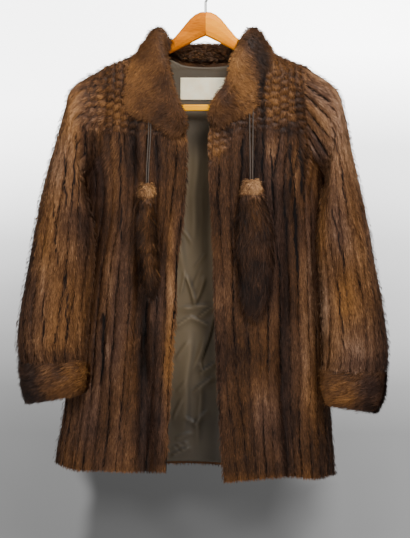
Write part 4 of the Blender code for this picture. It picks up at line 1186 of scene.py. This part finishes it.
def fanLine(x, d):
    # strips that fan out from the top of the right armhole, the lower ones steeper
    return (d + 1.94 * (x - 190)) / (1 + 0.0125 * np.clip(x - 190, -20, 80))


def fanShare(x, d, y):
    across = softStep(x, 183, 193) * (1 - softStep(x, 226, 240))
    return across * softStep(d, 202, 216) * (1 - softStep(d, 335, 365)) * (y < 0)


sleeveHair = {
    "count": 36000, "length": 13, "width": 1.1, "overhang": 9, "lift": 1.6, "stray": 0.12, "swirl": 0.10,
    "standing": 0.16, "stand": 5,
}
sleeveGrid, sleeveStrips = (97, 128), 14
sleeves = {
    left: {
        "hair": {**sleeveHair, "seed": 31},
        "look": {
            "seed": 707, "slitWidth": 1.0, "tone": 0.575, "own": 0.32, "cool": 0.32,
            # the dark spots here include painted shade on the sleeve's outer side, at the underarm and above the cuff,
            # beside the fur's own patches
            "spots": [
                (-272, 600, 40, 100, 0.08, -0.2), (-270, 560, 16, 20, -0.12, 0.0), (-290, 725, 70, 16, -0.20, 0.1),
                (-336, 600, 19, 170, -0.13, 0.1), (-304, 625, 4, 80, 0.13, 0.1), (-241, 640, 5, 70, 0.13, 0.1),
                (-224, 620, 12, 150, -0.10, 0.1), (-250, 465, 50, 30, -0.07, 0.1), (-225, 330, 12, 110, -0.12, 0.3),
                (-208, 345, 24, 52, -0.08, 0.2), (-245, 210, 40, 26, 0.14, 0.0), (-265, 330, 30, 110, 0.09, 0.0),
            ],
            "cracks": [
                (-234, 278, -221, 372, 1.8), (-243, 298, -250, 440, 1.6), (-266, 330, -262, 450, 1.7),
                (-200, 212, -227, 233, 1.4), (-285, 430, -278, 560, 1.5), (-262, 560, -260, 700, 1.5),
                (-305, 600, -303, 700, 1.3),
            ],
        },
        "underarmTone": 0.44,
        "bumps": {"seed": 717, "cell": (12, 18), "relief": 2.6, "tone": 0.48, "cool": 0.25, "seam": 2.2, "puff": 0.24},
        "flat": (440, 560), "area": 0.196,
    },
    right: {
        "hair": {**sleeveHair, "seed": 32},
        "look": {
            "seed": 808, "tone": 0.57, "own": 0.32, "cool": 0.40,
            # the dark spots here include painted shade on the sleeve's outer side, at the underarm and above the cuff,
            # beside the fur's own patches
            "spots": [
                (300, 735, 70, 16, -0.14, 0.1), (330, 600, 14, 160, -0.16, 0.1), (240, 500, 24, 60, 0.06, 0.0),
                (255, 620, 26, 70, 0.06, -0.2), (198, 245, 9, 70, -0.12, -0.1), (225, 235, 40, 50, 0.0, -0.15),
                (312, 520, 30, 140, -0.10, 0.1), (232, 640, 12, 150, -0.06, 0.1), (227, 655, 5, 40, 0.14, 0.1),
                (245, 300, 60, 90, 0.13, 0.05), (201, 326, 5, 12, 0.12, 0.0), (212, 350, 22, 50, -0.17, 0.4),
            ],
            "cracks": [
                (238, 288, 254, 362, 1.9), (254, 362, 262, 440, 1.5), (236, 440, 262, 560, 1.6),
                (290, 400, 318, 620, 1.5), (248, 580, 262, 720, 1.6),
            ],
        },
        "fanTone": 0.535,
        "flat": (440, 580), "area": 0.200,
    },
}
cuffHair = {
    "count": 10000, "length": 17, "width": 1.1, "lift": 2.6, "stray": 0.14, "swirl": 0.3, "soften": 0.2,
}
cuffGrid = (29, 112)
cuffs = {
    left: {
        "hair": {**cuffHair, "seed": 41},
        "look": {
            "seed": 287, "tone": 0.37, "cool": 0.12,
            # the dark spots here are painted shade at the cuff's outer end and along its lower edge
            "spots": [
                (-240, 760, 40, 60, 0.08, -0.1), (-335, 770, 30, 70, -0.20, 0.5), (-330, 802, 60, 12, -0.2, 0.2),
            ],
        },
        "flat": (340, 90), "area": 0.022,
    },
    right: {
        "hair": {**cuffHair, "seed": 42},
        "look": {
            "seed": 294, "tone": 0.43, "cool": 0.12,
            # the dark spots here are painted shade at the cuff's outer end and along its lower edge
            "spots": [
                (252, 790, 34, 60, 0.07, -0.1), (322, 785, 24, 40, -0.16, 1.0), (300, 822, 60, 10, -0.2, 0.2),
            ],
        },
        "flat": (340, 90), "area": 0.022,
    },
}

for side, piece in sleeves.items():
    points = tubeGrid(sleeveRings(side), sleeveGrid)
    towards = fromAxis(points)
    around = np.linalg.norm(np.diff(closedUp(points, True), axis=1), axis=2).sum(axis=1, keepdims=True)
    x, y, d = points[..., 0], points[..., 1], -points[..., 2]
    extras = {"pitch": around / sleeveStrips + 0 * x, "facing": softStep(-unit(towards)[..., 1], 0.3, 0.6)}

    def recipe(u, at, extras, side=side, piece=piece):
        x, y, d = at[..., 0], at[..., 1], -at[..., 2]
        look = dict(piece["look"], facing=extras["facing"])
        made = stripPattern(u * sleeveStrips, x, d, extras["pitch"], look, sleeveStrips)
        if side == right:
            fan = stripPattern(fanLine(x, d) / 22 + 0.4, x, d, 14, dict(look, tone=piece["fanTone"], slits=0.14))
            return mixed(made, fan, fanShare(x, d, y))
        upright = stripPattern(x / 17 + 0.3, x, d, 17, dict(look, tone=piece["underarmTone"]))
        bumps = bumpPattern(0.87 * x + 0.5 * d, 0.87 * d - 0.5 * x, x, d, piece["bumps"])
        return mixed(mixed(made, upright, underarm(x, d, y)), bumps, bumped(x, d, y))

    falls, flare = underarm(x, d, y), 0 * x
    if side == right:
        falls, flare = fanShare(x, d, y), 1 / (0.7 + 0.0125 * np.clip(fanLine(x, d) - 211, 0, 200))
    skin = skinOf(points, True, towards, recipe, extras, wall=7, flare=flare, falling=falls)
    furPiece("sleeve_" + sideWord[side], skin, piece, "fur")

for side, piece in cuffs.items():
    points = tubeGrid(cuffRings(side), cuffGrid)

    def recipe(u, at, extras, look=piece["look"]):
        return plushPattern(at, look)

    skin = skinOf(points, True, fromAxis(points), recipe, lie=(0.9 * side, 0.42), wall=9)
    furPiece("cuff_" + sideWord[side], skin, piece, "plush")
print("sleeves and cuffs made")

# collar halves: sections from the centre back round to the front end

# face, seam out and down, edge out and down, then how far the fold reaches in, its height, the
# fall's height halfway and at its edge
collarBack = [
    (back, 0, 165, 0, 228, 34, 14, 14, 9), (back, 34, 163, 40, 227, 33, 14, 14, 9),
    (back, 62, 153, 80, 217, 27, 17, 14, 9), (back, 79, 139, 110, 192, 18, 21, 15, 9),
    (back, 85, 131, 119, 162, 16, 26, 16, 9), (front, 86, 129.2, 122, 146.8, 17, 27, 17, 9),
]
collarFront = {
    left: [
        (front, 86, 137, 130, 160, 14, 27, 18, 9), (front, 85, 150, 138, 180, 10, 27, 18, 9),
        (front, 81, 175, 144, 204, 10, 27, 18, 9), (front, 75.5, 205, 146, 236, 10, 27, 18, 9),
        (front, 68.5, 232, 141, 261, 10, 26, 17, 9), (front, 58, 256, 122, 275, 10, 25, 16, 9),
        (front, 48, 276, 98, 285, 8, 23, 15, 9), (front, 41.5, 292, 70, 304, 4, 16, 12, 8),
    ],
    right: [
        (front, 80, 138, 121, 160, 14, 28, 19, 10), (front, 71, 150, 117, 176, 11, 28, 20, 10),
        (front, 61, 168, 109, 194, 10, 28, 20, 10), (front, 55.5, 195, 104, 216, 10, 28, 20, 10),
        (front, 46, 219, 96, 240, 10, 27, 19, 10), (front, 35, 234, 84, 260, 10, 26, 18, 9),
        (front, 22, 252, 60, 274, 9, 24, 16, 9), (front, 14, 272, 34, 286, 6, 17, 12, 8),
    ],
}


def collarSection(side, row):
    face, neckOut, neckDown, edgeOut, edgeDown, inside, fold, halfway, rim = row
    neck, edge = np.array([side * neckOut, neckDown], float), np.array([side * edgeOut, edgeDown], float)

    def over(share, above):
        place = onBody(neck + (edge - neck) * share, face, False)
        return place + above * bodyNormals(place, face)

    seam = over(0, 0)
    up = bodyNormals(seam, face)
    away = unit(over(0.05, 0) - seam)
    away = unit(away - (away @ up) * up)
    return np.array([
        seam - away * 0.6 - up * 7,
        seam - away * inside * 0.9 - up * 7,
        seam - away * inside - up * 3.2,
        seam - away * inside + up * fold * 0.4,
        seam - away * inside * 0.8 + up * fold * 0.8,
        seam - away * inside * 0.3 + up * fold,
        over(0.15, fold * 0.98), over(0.5, halfway), over(0.85, rim * 1.15), over(1, rim * 0.6),
        over(0.98, 0.6), over(0.5, 0.6), over(0.15, 0.6),
        seam - away * 0.6 + up * 0.6,
    ])


collarHair = {
    "count": 23000, "length": 11, "width": 0.95, "lift": 2.2, "stray": 0.2, "glint": 0.08, "swirl": 0.35,
    "soften": 0.6, "standing": 0.12, "tipTone": 0.06, "toneSpread": 0.045,
}
collarSize, collarRoom = (89, 80), 18.0
collars = {
    left: {
        "hair": {**collarHair, "seed": 51},
        "inner": 0.03,
        "look": {
            "seed": 909, "tone": 0.475, "soft": 0.20, "small": 0.08, "cool": -0.1,
            # the dark spots here include painted shade along the collar's inner side, beside the fur's own lighter and
            # darker patches
            "spots": [
                (-62, 262, 26, 44, -0.13, 0.1), (-74, 150, 12, 60, -0.14, 0.05), (-52, 292, 26, 18, -0.05, 0.1),
                (-120, 170, 26, 50, 0.06, 0.0), (-138, 200, 10, 60, 0.06, 0.0), (0, 135, 70, 40, 0.10, 0.0),
            ],
        },
        "flat": (330, 95), "area": 0.0245,
    },
    right: {
        "hair": {**collarHair, "seed": 52},
        "inner": 0.07,
        "look": {
            "seed": 1010, "tone": 0.52, "soft": 0.20, "small": 0.12, "cool": -0.05,
            # the dark spots here include painted shade on the collar's outer side, turned from the light, and along
            # its inner side, beside the fur's own patches
            "spots": [
                (68, 226, 18, 30, 0.16, -0.2), (60, 175, 12, 26, 0.08, 0.0), (0, 135, 60, 40, 0.10, 0.0),
                (96, 145, 19, 34, -0.20, 0.1), (104, 190, 15, 40, -0.27, 0.0), (106, 225, 14, 26, -0.30, 0.0),
                (70, 130, 20, 16, -0.14, 0.0), (34, 220, 10, 30, -0.16, 0.5), (52, 262, 34, 26, -0.06, 0.1),
                (20, 282, 26, 20, -0.14, 0.2),
            ],
        },
        "flat": (330, 95), "area": 0.0245,
    },
}

for side, piece in collars.items():
    name = "collar_" + sideWord[side]
    rings = [collarSection(side, row) for row in collarBack + collarFront[side]]
    rings[0][:, 0] = side * -1.0
    sections, last, middle = len(rings[0]), rings[-1], rings[-1].mean(axis=0)
    ahead = (middle - rings[-2].mean(axis=0)) * (0.2, 1, 1)
    for reach, keep in ((0.4, 0.84), (0.7, 0.55), (0.85, 0.2)):  # rounds off the front end
        rings.append(middle + ahead * reach + (last - middle) * keep)
    rows, columns = collarSize
    points = refine(refine(np.array(rings), columns, axis=1, closed=True), rows)
    around = np.arange(columns) / columns * sections + np.zeros((rows, 1))
    run = np.linspace(0, 1, rows)[:, None]
    tip, ahead, behind = softStep(run, 0.76, 0.95), softStep(run, 0.2, 0.3), 1 - softStep(run, 0.16, 0.3)
    folded = softStep(around, 0.8, 1.8)
    top = softStep(run, 0.22, 0.3) * (1 - softStep(run, 0.36, 0.46)) * folded * (1 - softStep(around, 3.6, 5))
    inner = ahead * folded * (1 - softStep(around, 4.6, 6.4))

    def recipe(u, at, extras, piece=piece):
        made = plushPattern(at, piece["look"])
        # painted light: the fold's inward side, which sits in shade, is painted lighter
        made["tone"] = made["tone"] + piece["inner"] * extras["inner"]
        made["short"] = 1 - 0.4 * extras["inner"] + 0.9 * extras["top"]
        return made

    parting = 1 - 1.7 * ahead * (1 - softStep(around, 4.2, 6.2)) * softStep(around, 0.4, 1.2)
    lieDown = 0.15 + 1.3 * tip + 0.8 * ahead * (1 - np.abs(parting)) - 1.15 * behind
    lie = (parting * (1 - 0.5 * tip) * (1 - 0.7 * behind), lieDown)
    skin = skinOf(points, True, fromAxis(points), recipe, {"inner": inner, "top": top}, lie=lie)
    skin["room"] = np.full((rows, columns), collarRoom)
    shell = makeSolid(name + "_skin", skin, "plush", name)
    hair = dict(piece["hair"], where=((around < 10.2) | (around > 13.6)).astype(float))
    coat = belong(combFur(name + "_fur", skin, hair), "plush")
print("collar made")

# pendants: a light cap over a dark tail

pendantHair = {
    "cap": {
        "length": 8, "width": 0.9, "lift": 2.4, "stray": 0.35, "toneSpread": 0.17, "overhang": 7,
        "standing": 0.2, "stand": 3,
    },
    "tail": {
        "length": 30, "width": 1.2, "lift": 2.8, "stray": 0.19, "bend": 0.10, "tipLift": 1.2, "overhang": 22,
        "standing": 0.2, "stand": 2.8, "swirl": 0.22, "swirls": 5, "nearest": -100, "toneSpread": 0.075,
    },
}
pendantFlat = 0.78
pendantLook = {
    left: {
        "cap": (0.72, 0.22), "tail": (0.25, 0.15), "count": {"cap": 3500, "tail": 7500},
        "slim": {"cap": 0.76, "tail": 0.68},
        "middle": 0.15, "darkens": (540, 600), "middleWide": 7, "middleBend": 5,
        "spots": [(-120, 404, 9, 16, -0.2, 0.1), (-106, 412, 8, 12, 0.08, 0.0), (-112, 430, 20, 7, -0.10, 0.1)],
    },
    right: {
        "cap": (0.72, 0.22), "tail": (0.25, 0.40), "count": {"cap": 4500, "tail": 9500},
        "slim": {"cap": 0.76, "tail": 0.92},
        "middle": 0.16, "darkens": (455, 540), "middleWide": 13, "middleBend": 3,
        "spots": [(72, 402, 7, 12, -0.14, 0.1), (96, 402, 12, 12, 0.06, 0.0), (87, 424, 26, 6, -0.10, 0.1)],
    },
}


def pendantRings(side, part):
    angles = np.linspace(0, 2 * math.pi, 24, endpoint=False)
    slim = pendantLook[side]["slim"][part]
    rings = []
    for down, across, wide, deep in pendants[side][part]:
        depth = pendantMiddle(side, across, down) + deep * min(slim, pendantFlat) * np.sin(angles)
        rings.append(np.stack([across + wide * slim * np.cos(angles), depth, np.full(24, -down)], axis=1))
    for end, step in ((0, 1), (-1, -1)):  # a small ring closes each end
        middle = rings[end].mean(axis=0)
        closing = middle + (rings[end] - middle) * 0.45
        rings[end] = rings[end] - np.array([0, 0, 3.0 * step])
        rings.insert(0 if step == 1 else len(rings), closing + np.array([0, 0, 2.0 * step * (part == "tail")]))
    return np.array(rings)


for side, parts in pendants.items():
    for part, rows in parts.items():
        downs, acrosses = np.array(rows)[:, :2].T
        points = tubeGrid(pendantRings(side, part), (max(17, int((downs[-1] - downs[0]) / 3) // 4 * 4 + 1), 40))

        def recipe(u, at, extras, side=side, part=part, look=pendantLook[side], downs=downs, acrosses=acrosses):
            tone, cool = look[part]
            made = plushPattern(at, {"seed": 61 + side, "tone": tone, "cool": cool, "spots": look["spots"]})
            if part == "tail":
                down, below = -at[..., 2], -at[..., 2] - downs[0]
                middle = np.interp(down, downs, acrosses)
                bend = look["middleBend"] * np.sin(below / 38)
                low = softStep(down, *look["darkens"])
                stripe = np.exp(-(((at[..., 0] - middle - bend) / look["middleWide"]) ** 2)) * (1 - low)
                pale = 1 - softStep(below, 0, 13)
                made["short"] = 1 - 0.62 * (1 - softStep(below, 6, 30))
                made["tone"] = np.clip(made["tone"] + look["middle"] * stripe - 0.07 + 0.24 * pale, 0.02, 1)
                made["cool"] = np.clip(made["cool"] - 0.3 * stripe + 0.3 * low, 0, 1)
            return made

        skin = skinOf(points, True, fromAxis(points), recipe)
        name = f"pendant_{part}_{sideWord[side]}"
        slot = "plush" if part == "cap" else "fur"
        shell = makeSolid(name + "_skin", skin, slot, name)
        hair = dict(pendantHair[part], count=pendantLook[side]["count"][part], seed=71 + 3 * side + len(part))
        coat = belong(combFur(name + "_fur", skin, hair), slot)

for name, (side, *_, length) in ties.items():
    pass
print("pendants made")

# satin linings and the bare label

satin = satinMaterial()
liningSet = {"deep": 8.4, "wall": 1.2, "raised": 4, "grid": (97, 49)}
creases = [  # ends across and down, half width, height, and the half width beyond where it differs
    (-38, 575, -22, 628, 3.5, 4.0), (-2, 580, -22, 630, 3.0, 4.0, 8.0), (-46, 640, 12, 632, 3.0, 3.5, 7.0),
    (-14, 655, 16, 636, 2.5, 4.0, 6.0), (-24, 600, -6, 560, 3.0, 2.5), (-12, 765, 20, 745, 2.6, 4.5, 7.0),
    (-24, 800, 16, 772, 3.0, 3.5, 8.0), (-4, 700, -26, 760, 4.0, 2.5), (16, 657, -7, 742, 1.3, 4.5, 12.0),
    (-8, 742, -6, 760, 1.5, 3.5, 9.0), (-66, 922, -30, 908, 2.4, 4.0, 6.0), (-64, 908, -34, 898, 2.2, 3.0),
    (-58, 890, -24, 880, 3.0, 2.5), (-40, 850, -14, 868, 4.0, 2.5), (-58, 420, -46, 560, 9, 3.0, 5.0),
    (-18, 330, -26, 520, 8, 2.2), (4, 400, 2, 560, 10, -2.0), (-30, 690, -44, 880, 8, 3.0, 14.0),
    (-10, 790, -16, 900, 6, 2.5), (90, 420, 80, 700, 18, 2.6), (-130, 430, -120, 760, 18, -2.4),
    (130, 600, 140, 900, 16, 2.2), (-110, 700, -95, 900, 15, 2.0), (-70, 174, 70, 174, 2.5, 1.2),
    (-41, 566, -50, 610, 2.5, 2.6), (-58, 674, -28, 655, 2.5, 3.2, 6.0), (-28, 655, 6, 673, 2.4, 3.2, 6.0),
    (-56, 470, -28, 512, 3.0, 2.0), (-20, 560, 4, 530, 2.6, 2.2), (-57, 736, -32, 702, 2.5, 2.5, 6.0),
    (-62, 850, -44, 812, 2.5, 2.5), (-22, 862, 6, 836, 2.6, 2.6, 6.0), (-56, 800, -36, 780, 2.4, 2.0),
]
# painted shade on the lining, darker near the neck, at the flap and the hem, with two lighter places of painted light
liningShade = [
    (0, 205, 110, 62, -0.66, 0), (8, 700, 13, 60, -0.45, 0), (-4, 800, 22, 30, -0.2, 0),
    (-5, 300, 60, 40, -0.56, 0), (0, 930, 80, 24, -0.2, 0), (-24, 560, 26, 60, 0.12, 0),
    (-40, 760, 22, 90, 0.15, 0),
]


def creased(across, down):
    # how far the satin stands in from the fur, and the shade that its folds hold
    lift, shade = np.zeros(across.shape), np.ones(across.shape)
    for x0, d0, x1, d1, half, deep, *beyond in creases:
        length = math.hypot(x1 - x0, d1 - d0)
        ex, ed = (x1 - x0) / length, (d1 - d0) / length
        along = (across - x0) * ex + (down - d0) * ed
        aside = (across - x0) * -ed + (down - d0) * ex + 1.5 * np.sin(along / 19)
        ends = softStep(along, -0.15 * length, 0.2 * length) * (1 - softStep(along, 0.75 * length, 1.15 * length))
        width = np.where(aside > 0, beyond[0], half) if beyond else half
        lift += deep * np.exp(-((aside / width) ** 2)) * ends
        narrow = min(half, 5)
        # painted shade beside each crease, and a painted highlight along its ridge
        shade -= 0.12 * deep * np.exp(-(((aside + 1.5 * narrow) / narrow) ** 2)) * ends
        shade += 0.07 * deep * np.exp(-((aside / (0.6 * narrow)) ** 2)) * ends
    lift += 1.6 * (noise(across / 60, down / 110, 77) - 0.5) + 0.9 * (noise(across / 17, down / 30, 78) - 0.5)
    shade += placedTone(across, down, liningShade)[0]
    return lift, np.clip(shade, 0.15, 1.5)


def offTheHem(outline):
    rise = outline[-2] - outline[-1]
    outline[-1] += rise * liningSet["raised"] / np.abs(rise[:, 1:])
    return outline


def insideSheet(outline, face, size, deep, wall, lift, piled=False):
    # both sides of a sheet that lies against the inside, and the shade painted on it
    fine = evenGrid(outline, size)
    points = onBody(fine, face)
    normals = bodyNormals(onBody(fine, face, False), face)
    rise, shade = lift(fine[..., 0], fine[..., 1])
    rise = np.clip(rise + 1.5, 0, None)[..., None]
    covered = points - normals * (deep + (0 if piled else rise))
    return points - normals * (deep + rise + wall), covered, np.stack([shade, shade, shade], axis=2)


backLining = np.concatenate([backYokeOutline(14)[1:-1], offTheHem(backOutline(27))[:, ::2]])[:, 1:-1]
linings = {
    "lining_left": {
        "face": front, "outline": offTheHem(frontOutline(left, 23))[:, 2:-2:2], "grid": liningSet["grid"],
        "flat": (240, 642), "area": 0.13,
    },
    "lining_right": {
        "face": front, "outline": offTheHem(frontOutline(right, 23))[:, 2:-2:2], "grid": liningSet["grid"],
        "flat": (262, 642), "area": 0.14,
    },
    "lining_back": {
        "face": back, "outline": backLining,
        "grid": (193, np.interp(np.arange(97), [0, 16, 80, 96], [0, 3.3, 7.0, 11])),
        "flat": (540, 780), "area": 0.37,
    },
}

for name, piece in linings.items():
    deep, wall = liningSet["deep"], liningSet["wall"]
    inner, outer, colours = insideSheet(piece["outline"], piece["face"], piece["grid"], deep, wall, creased, True)
    sheet = belong(makeShell(name + "_satin", inner, outer, satin, colours=colours), "satin", name)

labelSet = {"across": (-48.5, 39, 8), "down": (194.5, 237, 4), "grid": (25, 49), "clear": 0.6, "wall": 0.8}


def labelLift(across, down):
    curl = 0.5 * np.sin(across / 9) * softStep(down, 200, labelSet["down"][1])
    return creased(across, down)[0] + curl, 1 + 0 * across


outline = np.stack(np.meshgrid(np.linspace(*labelSet["across"]), np.linspace(*labelSet["down"])), axis=-1)
deep = liningSet["deep"] + liningSet["wall"] + labelSet["clear"]
inner, outer, colours = insideSheet(outline, back, labelSet["grid"], deep, labelSet["wall"], labelLift)
label = belong(makeShell("label_tape", inner, outer, tapeMaterial(), step=1), "tape", "label")
print("linings and label made")

# the hanger keeps its turned and bent parts, and gets its varnish and plating

honey = woodMaterial("honey_varnish", (0.38, 0.090, 0.0002), (0.68, 0.195, 0.0004), 1.0)
# the right arm is given a lighter colour than the left, and the bar a lighter one still
hangerFinish = {
    "hanger_arm_left": honey,
    "hanger_arm_right": woodMaterial("pale_varnish", (0.88, 0.240, 0.0002), (1.0, 0.37, 0.0004), 4.0),
    "hanger_bar": woodMaterial("bar_varnish", (1.0, 0.36, 0.0002), (1.0, 0.44, 0.0004), 7.0),
    "hanger_hook": steelMaterial(),
}
for name, finish in hangerFinish.items():
    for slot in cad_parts[name].material_slots:
        slot.material = finish

# a thin strip closes the joint between the two arms
joint = np.array([(x, y, z) for x in (-0.24, 0.24) for y in (-7.2, 7.2) for z in (-71, -118)], float)
jointFaces = [
    (0, 1, 3), (0, 3, 2), (4, 6, 7), (4, 7, 5), (0, 4, 5), (0, 5, 1),
    (2, 3, 7), (2, 7, 6), (0, 2, 6), (0, 6, 4), (1, 5, 7), (1, 7, 3),
]
belong(makeMesh("hanger_joint", joint, jointFaces, honey), "varnished_wood")

# wall, floor and lights

stageSet = {
    "wall": (24, 12), "wallAway": 9.0, "floor": 24, "floorDown": 2.05, "strength": 8.0, "world": 0.46,
    # the wall's glow at each height, on its left and right side, is painted light
    "heights": [-1.95, -1.44, -1.19, -0.93, -0.68, -0.42, -0.16, 0.09, 0.3, 0.6],
    "leftSide": [0.30, 0.335, 0.44, 0.71, 1.1, 1.8, 3.3, 4.8, 5.8, 5.8],
    "rightSide": [0.40, 0.44, 0.64, 1.05, 1.35, 1.85, 2.7, 3.3, 5.0, 8.0],
}
shadows = [  # how dark, and for each edge its axis, its places and how much of it holds there
    (0.71, [  # below the hem
        ("X", -0.76, -0.62, 0.0, 1.0), ("X", 0.34, 0.66, 1.0, 0.0),
        ("Z", -1.50, -1.34, 1.0, 0.0), ("Z", -2.02, -1.76, 0.72, 1.0),
    ]),
    (0.12, [  # beside the jacket
        ("X", -1.30, -0.80, 0.0, 1.0), ("X", 0.70, 1.20, 1.0, 0.0), ("Z", -0.6, 0.5, 1.0, 0.0),
    ]),
]
lights = {  # place, size and power
    "key": ((0.9, -2.6, 1.5), 1.3, 128),
    "fill": ((-2.2, -2.8, 0.4), 2.0, 45),
    "top": ((0.1, -0.6, 1.7), 1.4, 35),
    "backSoft": ((0.3, 2.8, 0.9), 2.5, 60),
}
lightAim = (0.0, 0.0, -0.5)


def stagePlane(name, corners, finish):
    mesh = bpy.data.meshes.new(name)
    mesh.from_pydata(corners, [], [(0, 1, 2, 3)])
    mesh.materials.append(finish)
    made = linked(name, mesh)
    return made


def wallMaterial():
    made, tree, shader = newMaterial("wall_painted_light_and_shadow")
    # the wall glows with painted light, brighter towards the top, and its painted shadows fall below and beside the
    # jacket
    at = put(tree, "SeparateXYZ", {0: placeIn(tree)}).outputs
    uneven = remap(tree, speckle(tree, placeIn(tree), Scale=2.2, Detail=1.0), 0.3, 0.7, -0.09, 0.09)
    height = remap(tree, at["Z"], -2.0, 1.0)
    sides = []
    for key in ("leftSide", "rightSide"):
        levels = zip(stageSet["heights"], stageSet[key])
        sides.append(colourRamp(tree, height, [((z + 2) / 3, (v / stageSet["strength"],) * 3) for z, v in levels]))
    wash = blend(tree, remap(tree, at["X"], -0.9, 0.9, interpolation_type="SMOOTHSTEP"), *sides)
    shade = 1.0
    for dark, edges in shadows:
        cast = 1.0
        for axis, *reach in edges:
            moved = maths(tree, "ADD", at[axis], uneven)
            cast = maths(tree, "MULTIPLY", remap(tree, moved, *reach, interpolation_type="SMOOTHSTEP"), cast)
        shade = maths(tree, "MULTIPLY", maths(tree, "MULTIPLY_ADD", cast, -dark, 1.0), shade)
    lit = blend(tree, 1.0, wash, grey(tree, shade), "MULTIPLY")
    setInputs(tree, shader, {"Base Color": (0, 0, 0, 1), "Roughness": 1.0})
    setInputs(tree, shader, {"Emission Color": lit, "Emission Strength": stageSet["strength"]})
    return made


def floorMaterial():
    made, tree, shader = newMaterial("floor_paint")
    cloud = put(tree, "TexNoise", {"Scale": 3.0, "Detail": 3.0}).outputs["Fac"]
    paint = colourRamp(tree, cloud, [(0.3, (0.55, 0.55, 0.54)), (0.7, (0.6, 0.6, 0.59))])
    setInputs(tree, shader, {"Base Color": paint, "Roughness": 0.8})
    return made


w, h, y = stageSet["wall"][0] / 2, stageSet["wall"][1] / 2, stageSet["wallAway"]
wall = stagePlane("wall", [(-w, y, -h), (w, y, -h), (w, y, h), (-w, y, h)], wallMaterial())
wall.visible_diffuse = wall.visible_glossy = False
w, z = stageSet["floor"] / 2, -stageSet["floorDown"]
stagePlane("floor", [(-w, -w, z), (w, -w, z), (w, w, z), (-w, w, z)], floorMaterial())

for name, (place, size, power) in lights.items():
    data = bpy.data.lights.new(name, "AREA")
    data.shape, data.size, data.energy = "DISK", size, power
    light = linked(name, data)
    light.location = place
    aim = np.array(lightAim) - np.array(place)
    turned = math.atan2(aim[1], aim[0]) - math.pi / 2
    light.rotation_euler = (math.acos(-aim[2] / np.linalg.norm(aim)), 0, turned)

world = bpy.data.worlds.new("studio")
world.use_nodes = True
sky = {"Color": (1.0, 0.97, 0.93, 1), "Strength": stageSet["world"]}
setInputs(world.node_tree, world.node_tree.nodes["Background"], sky)
bpy.context.scene.world = world
print("stage and lights made")
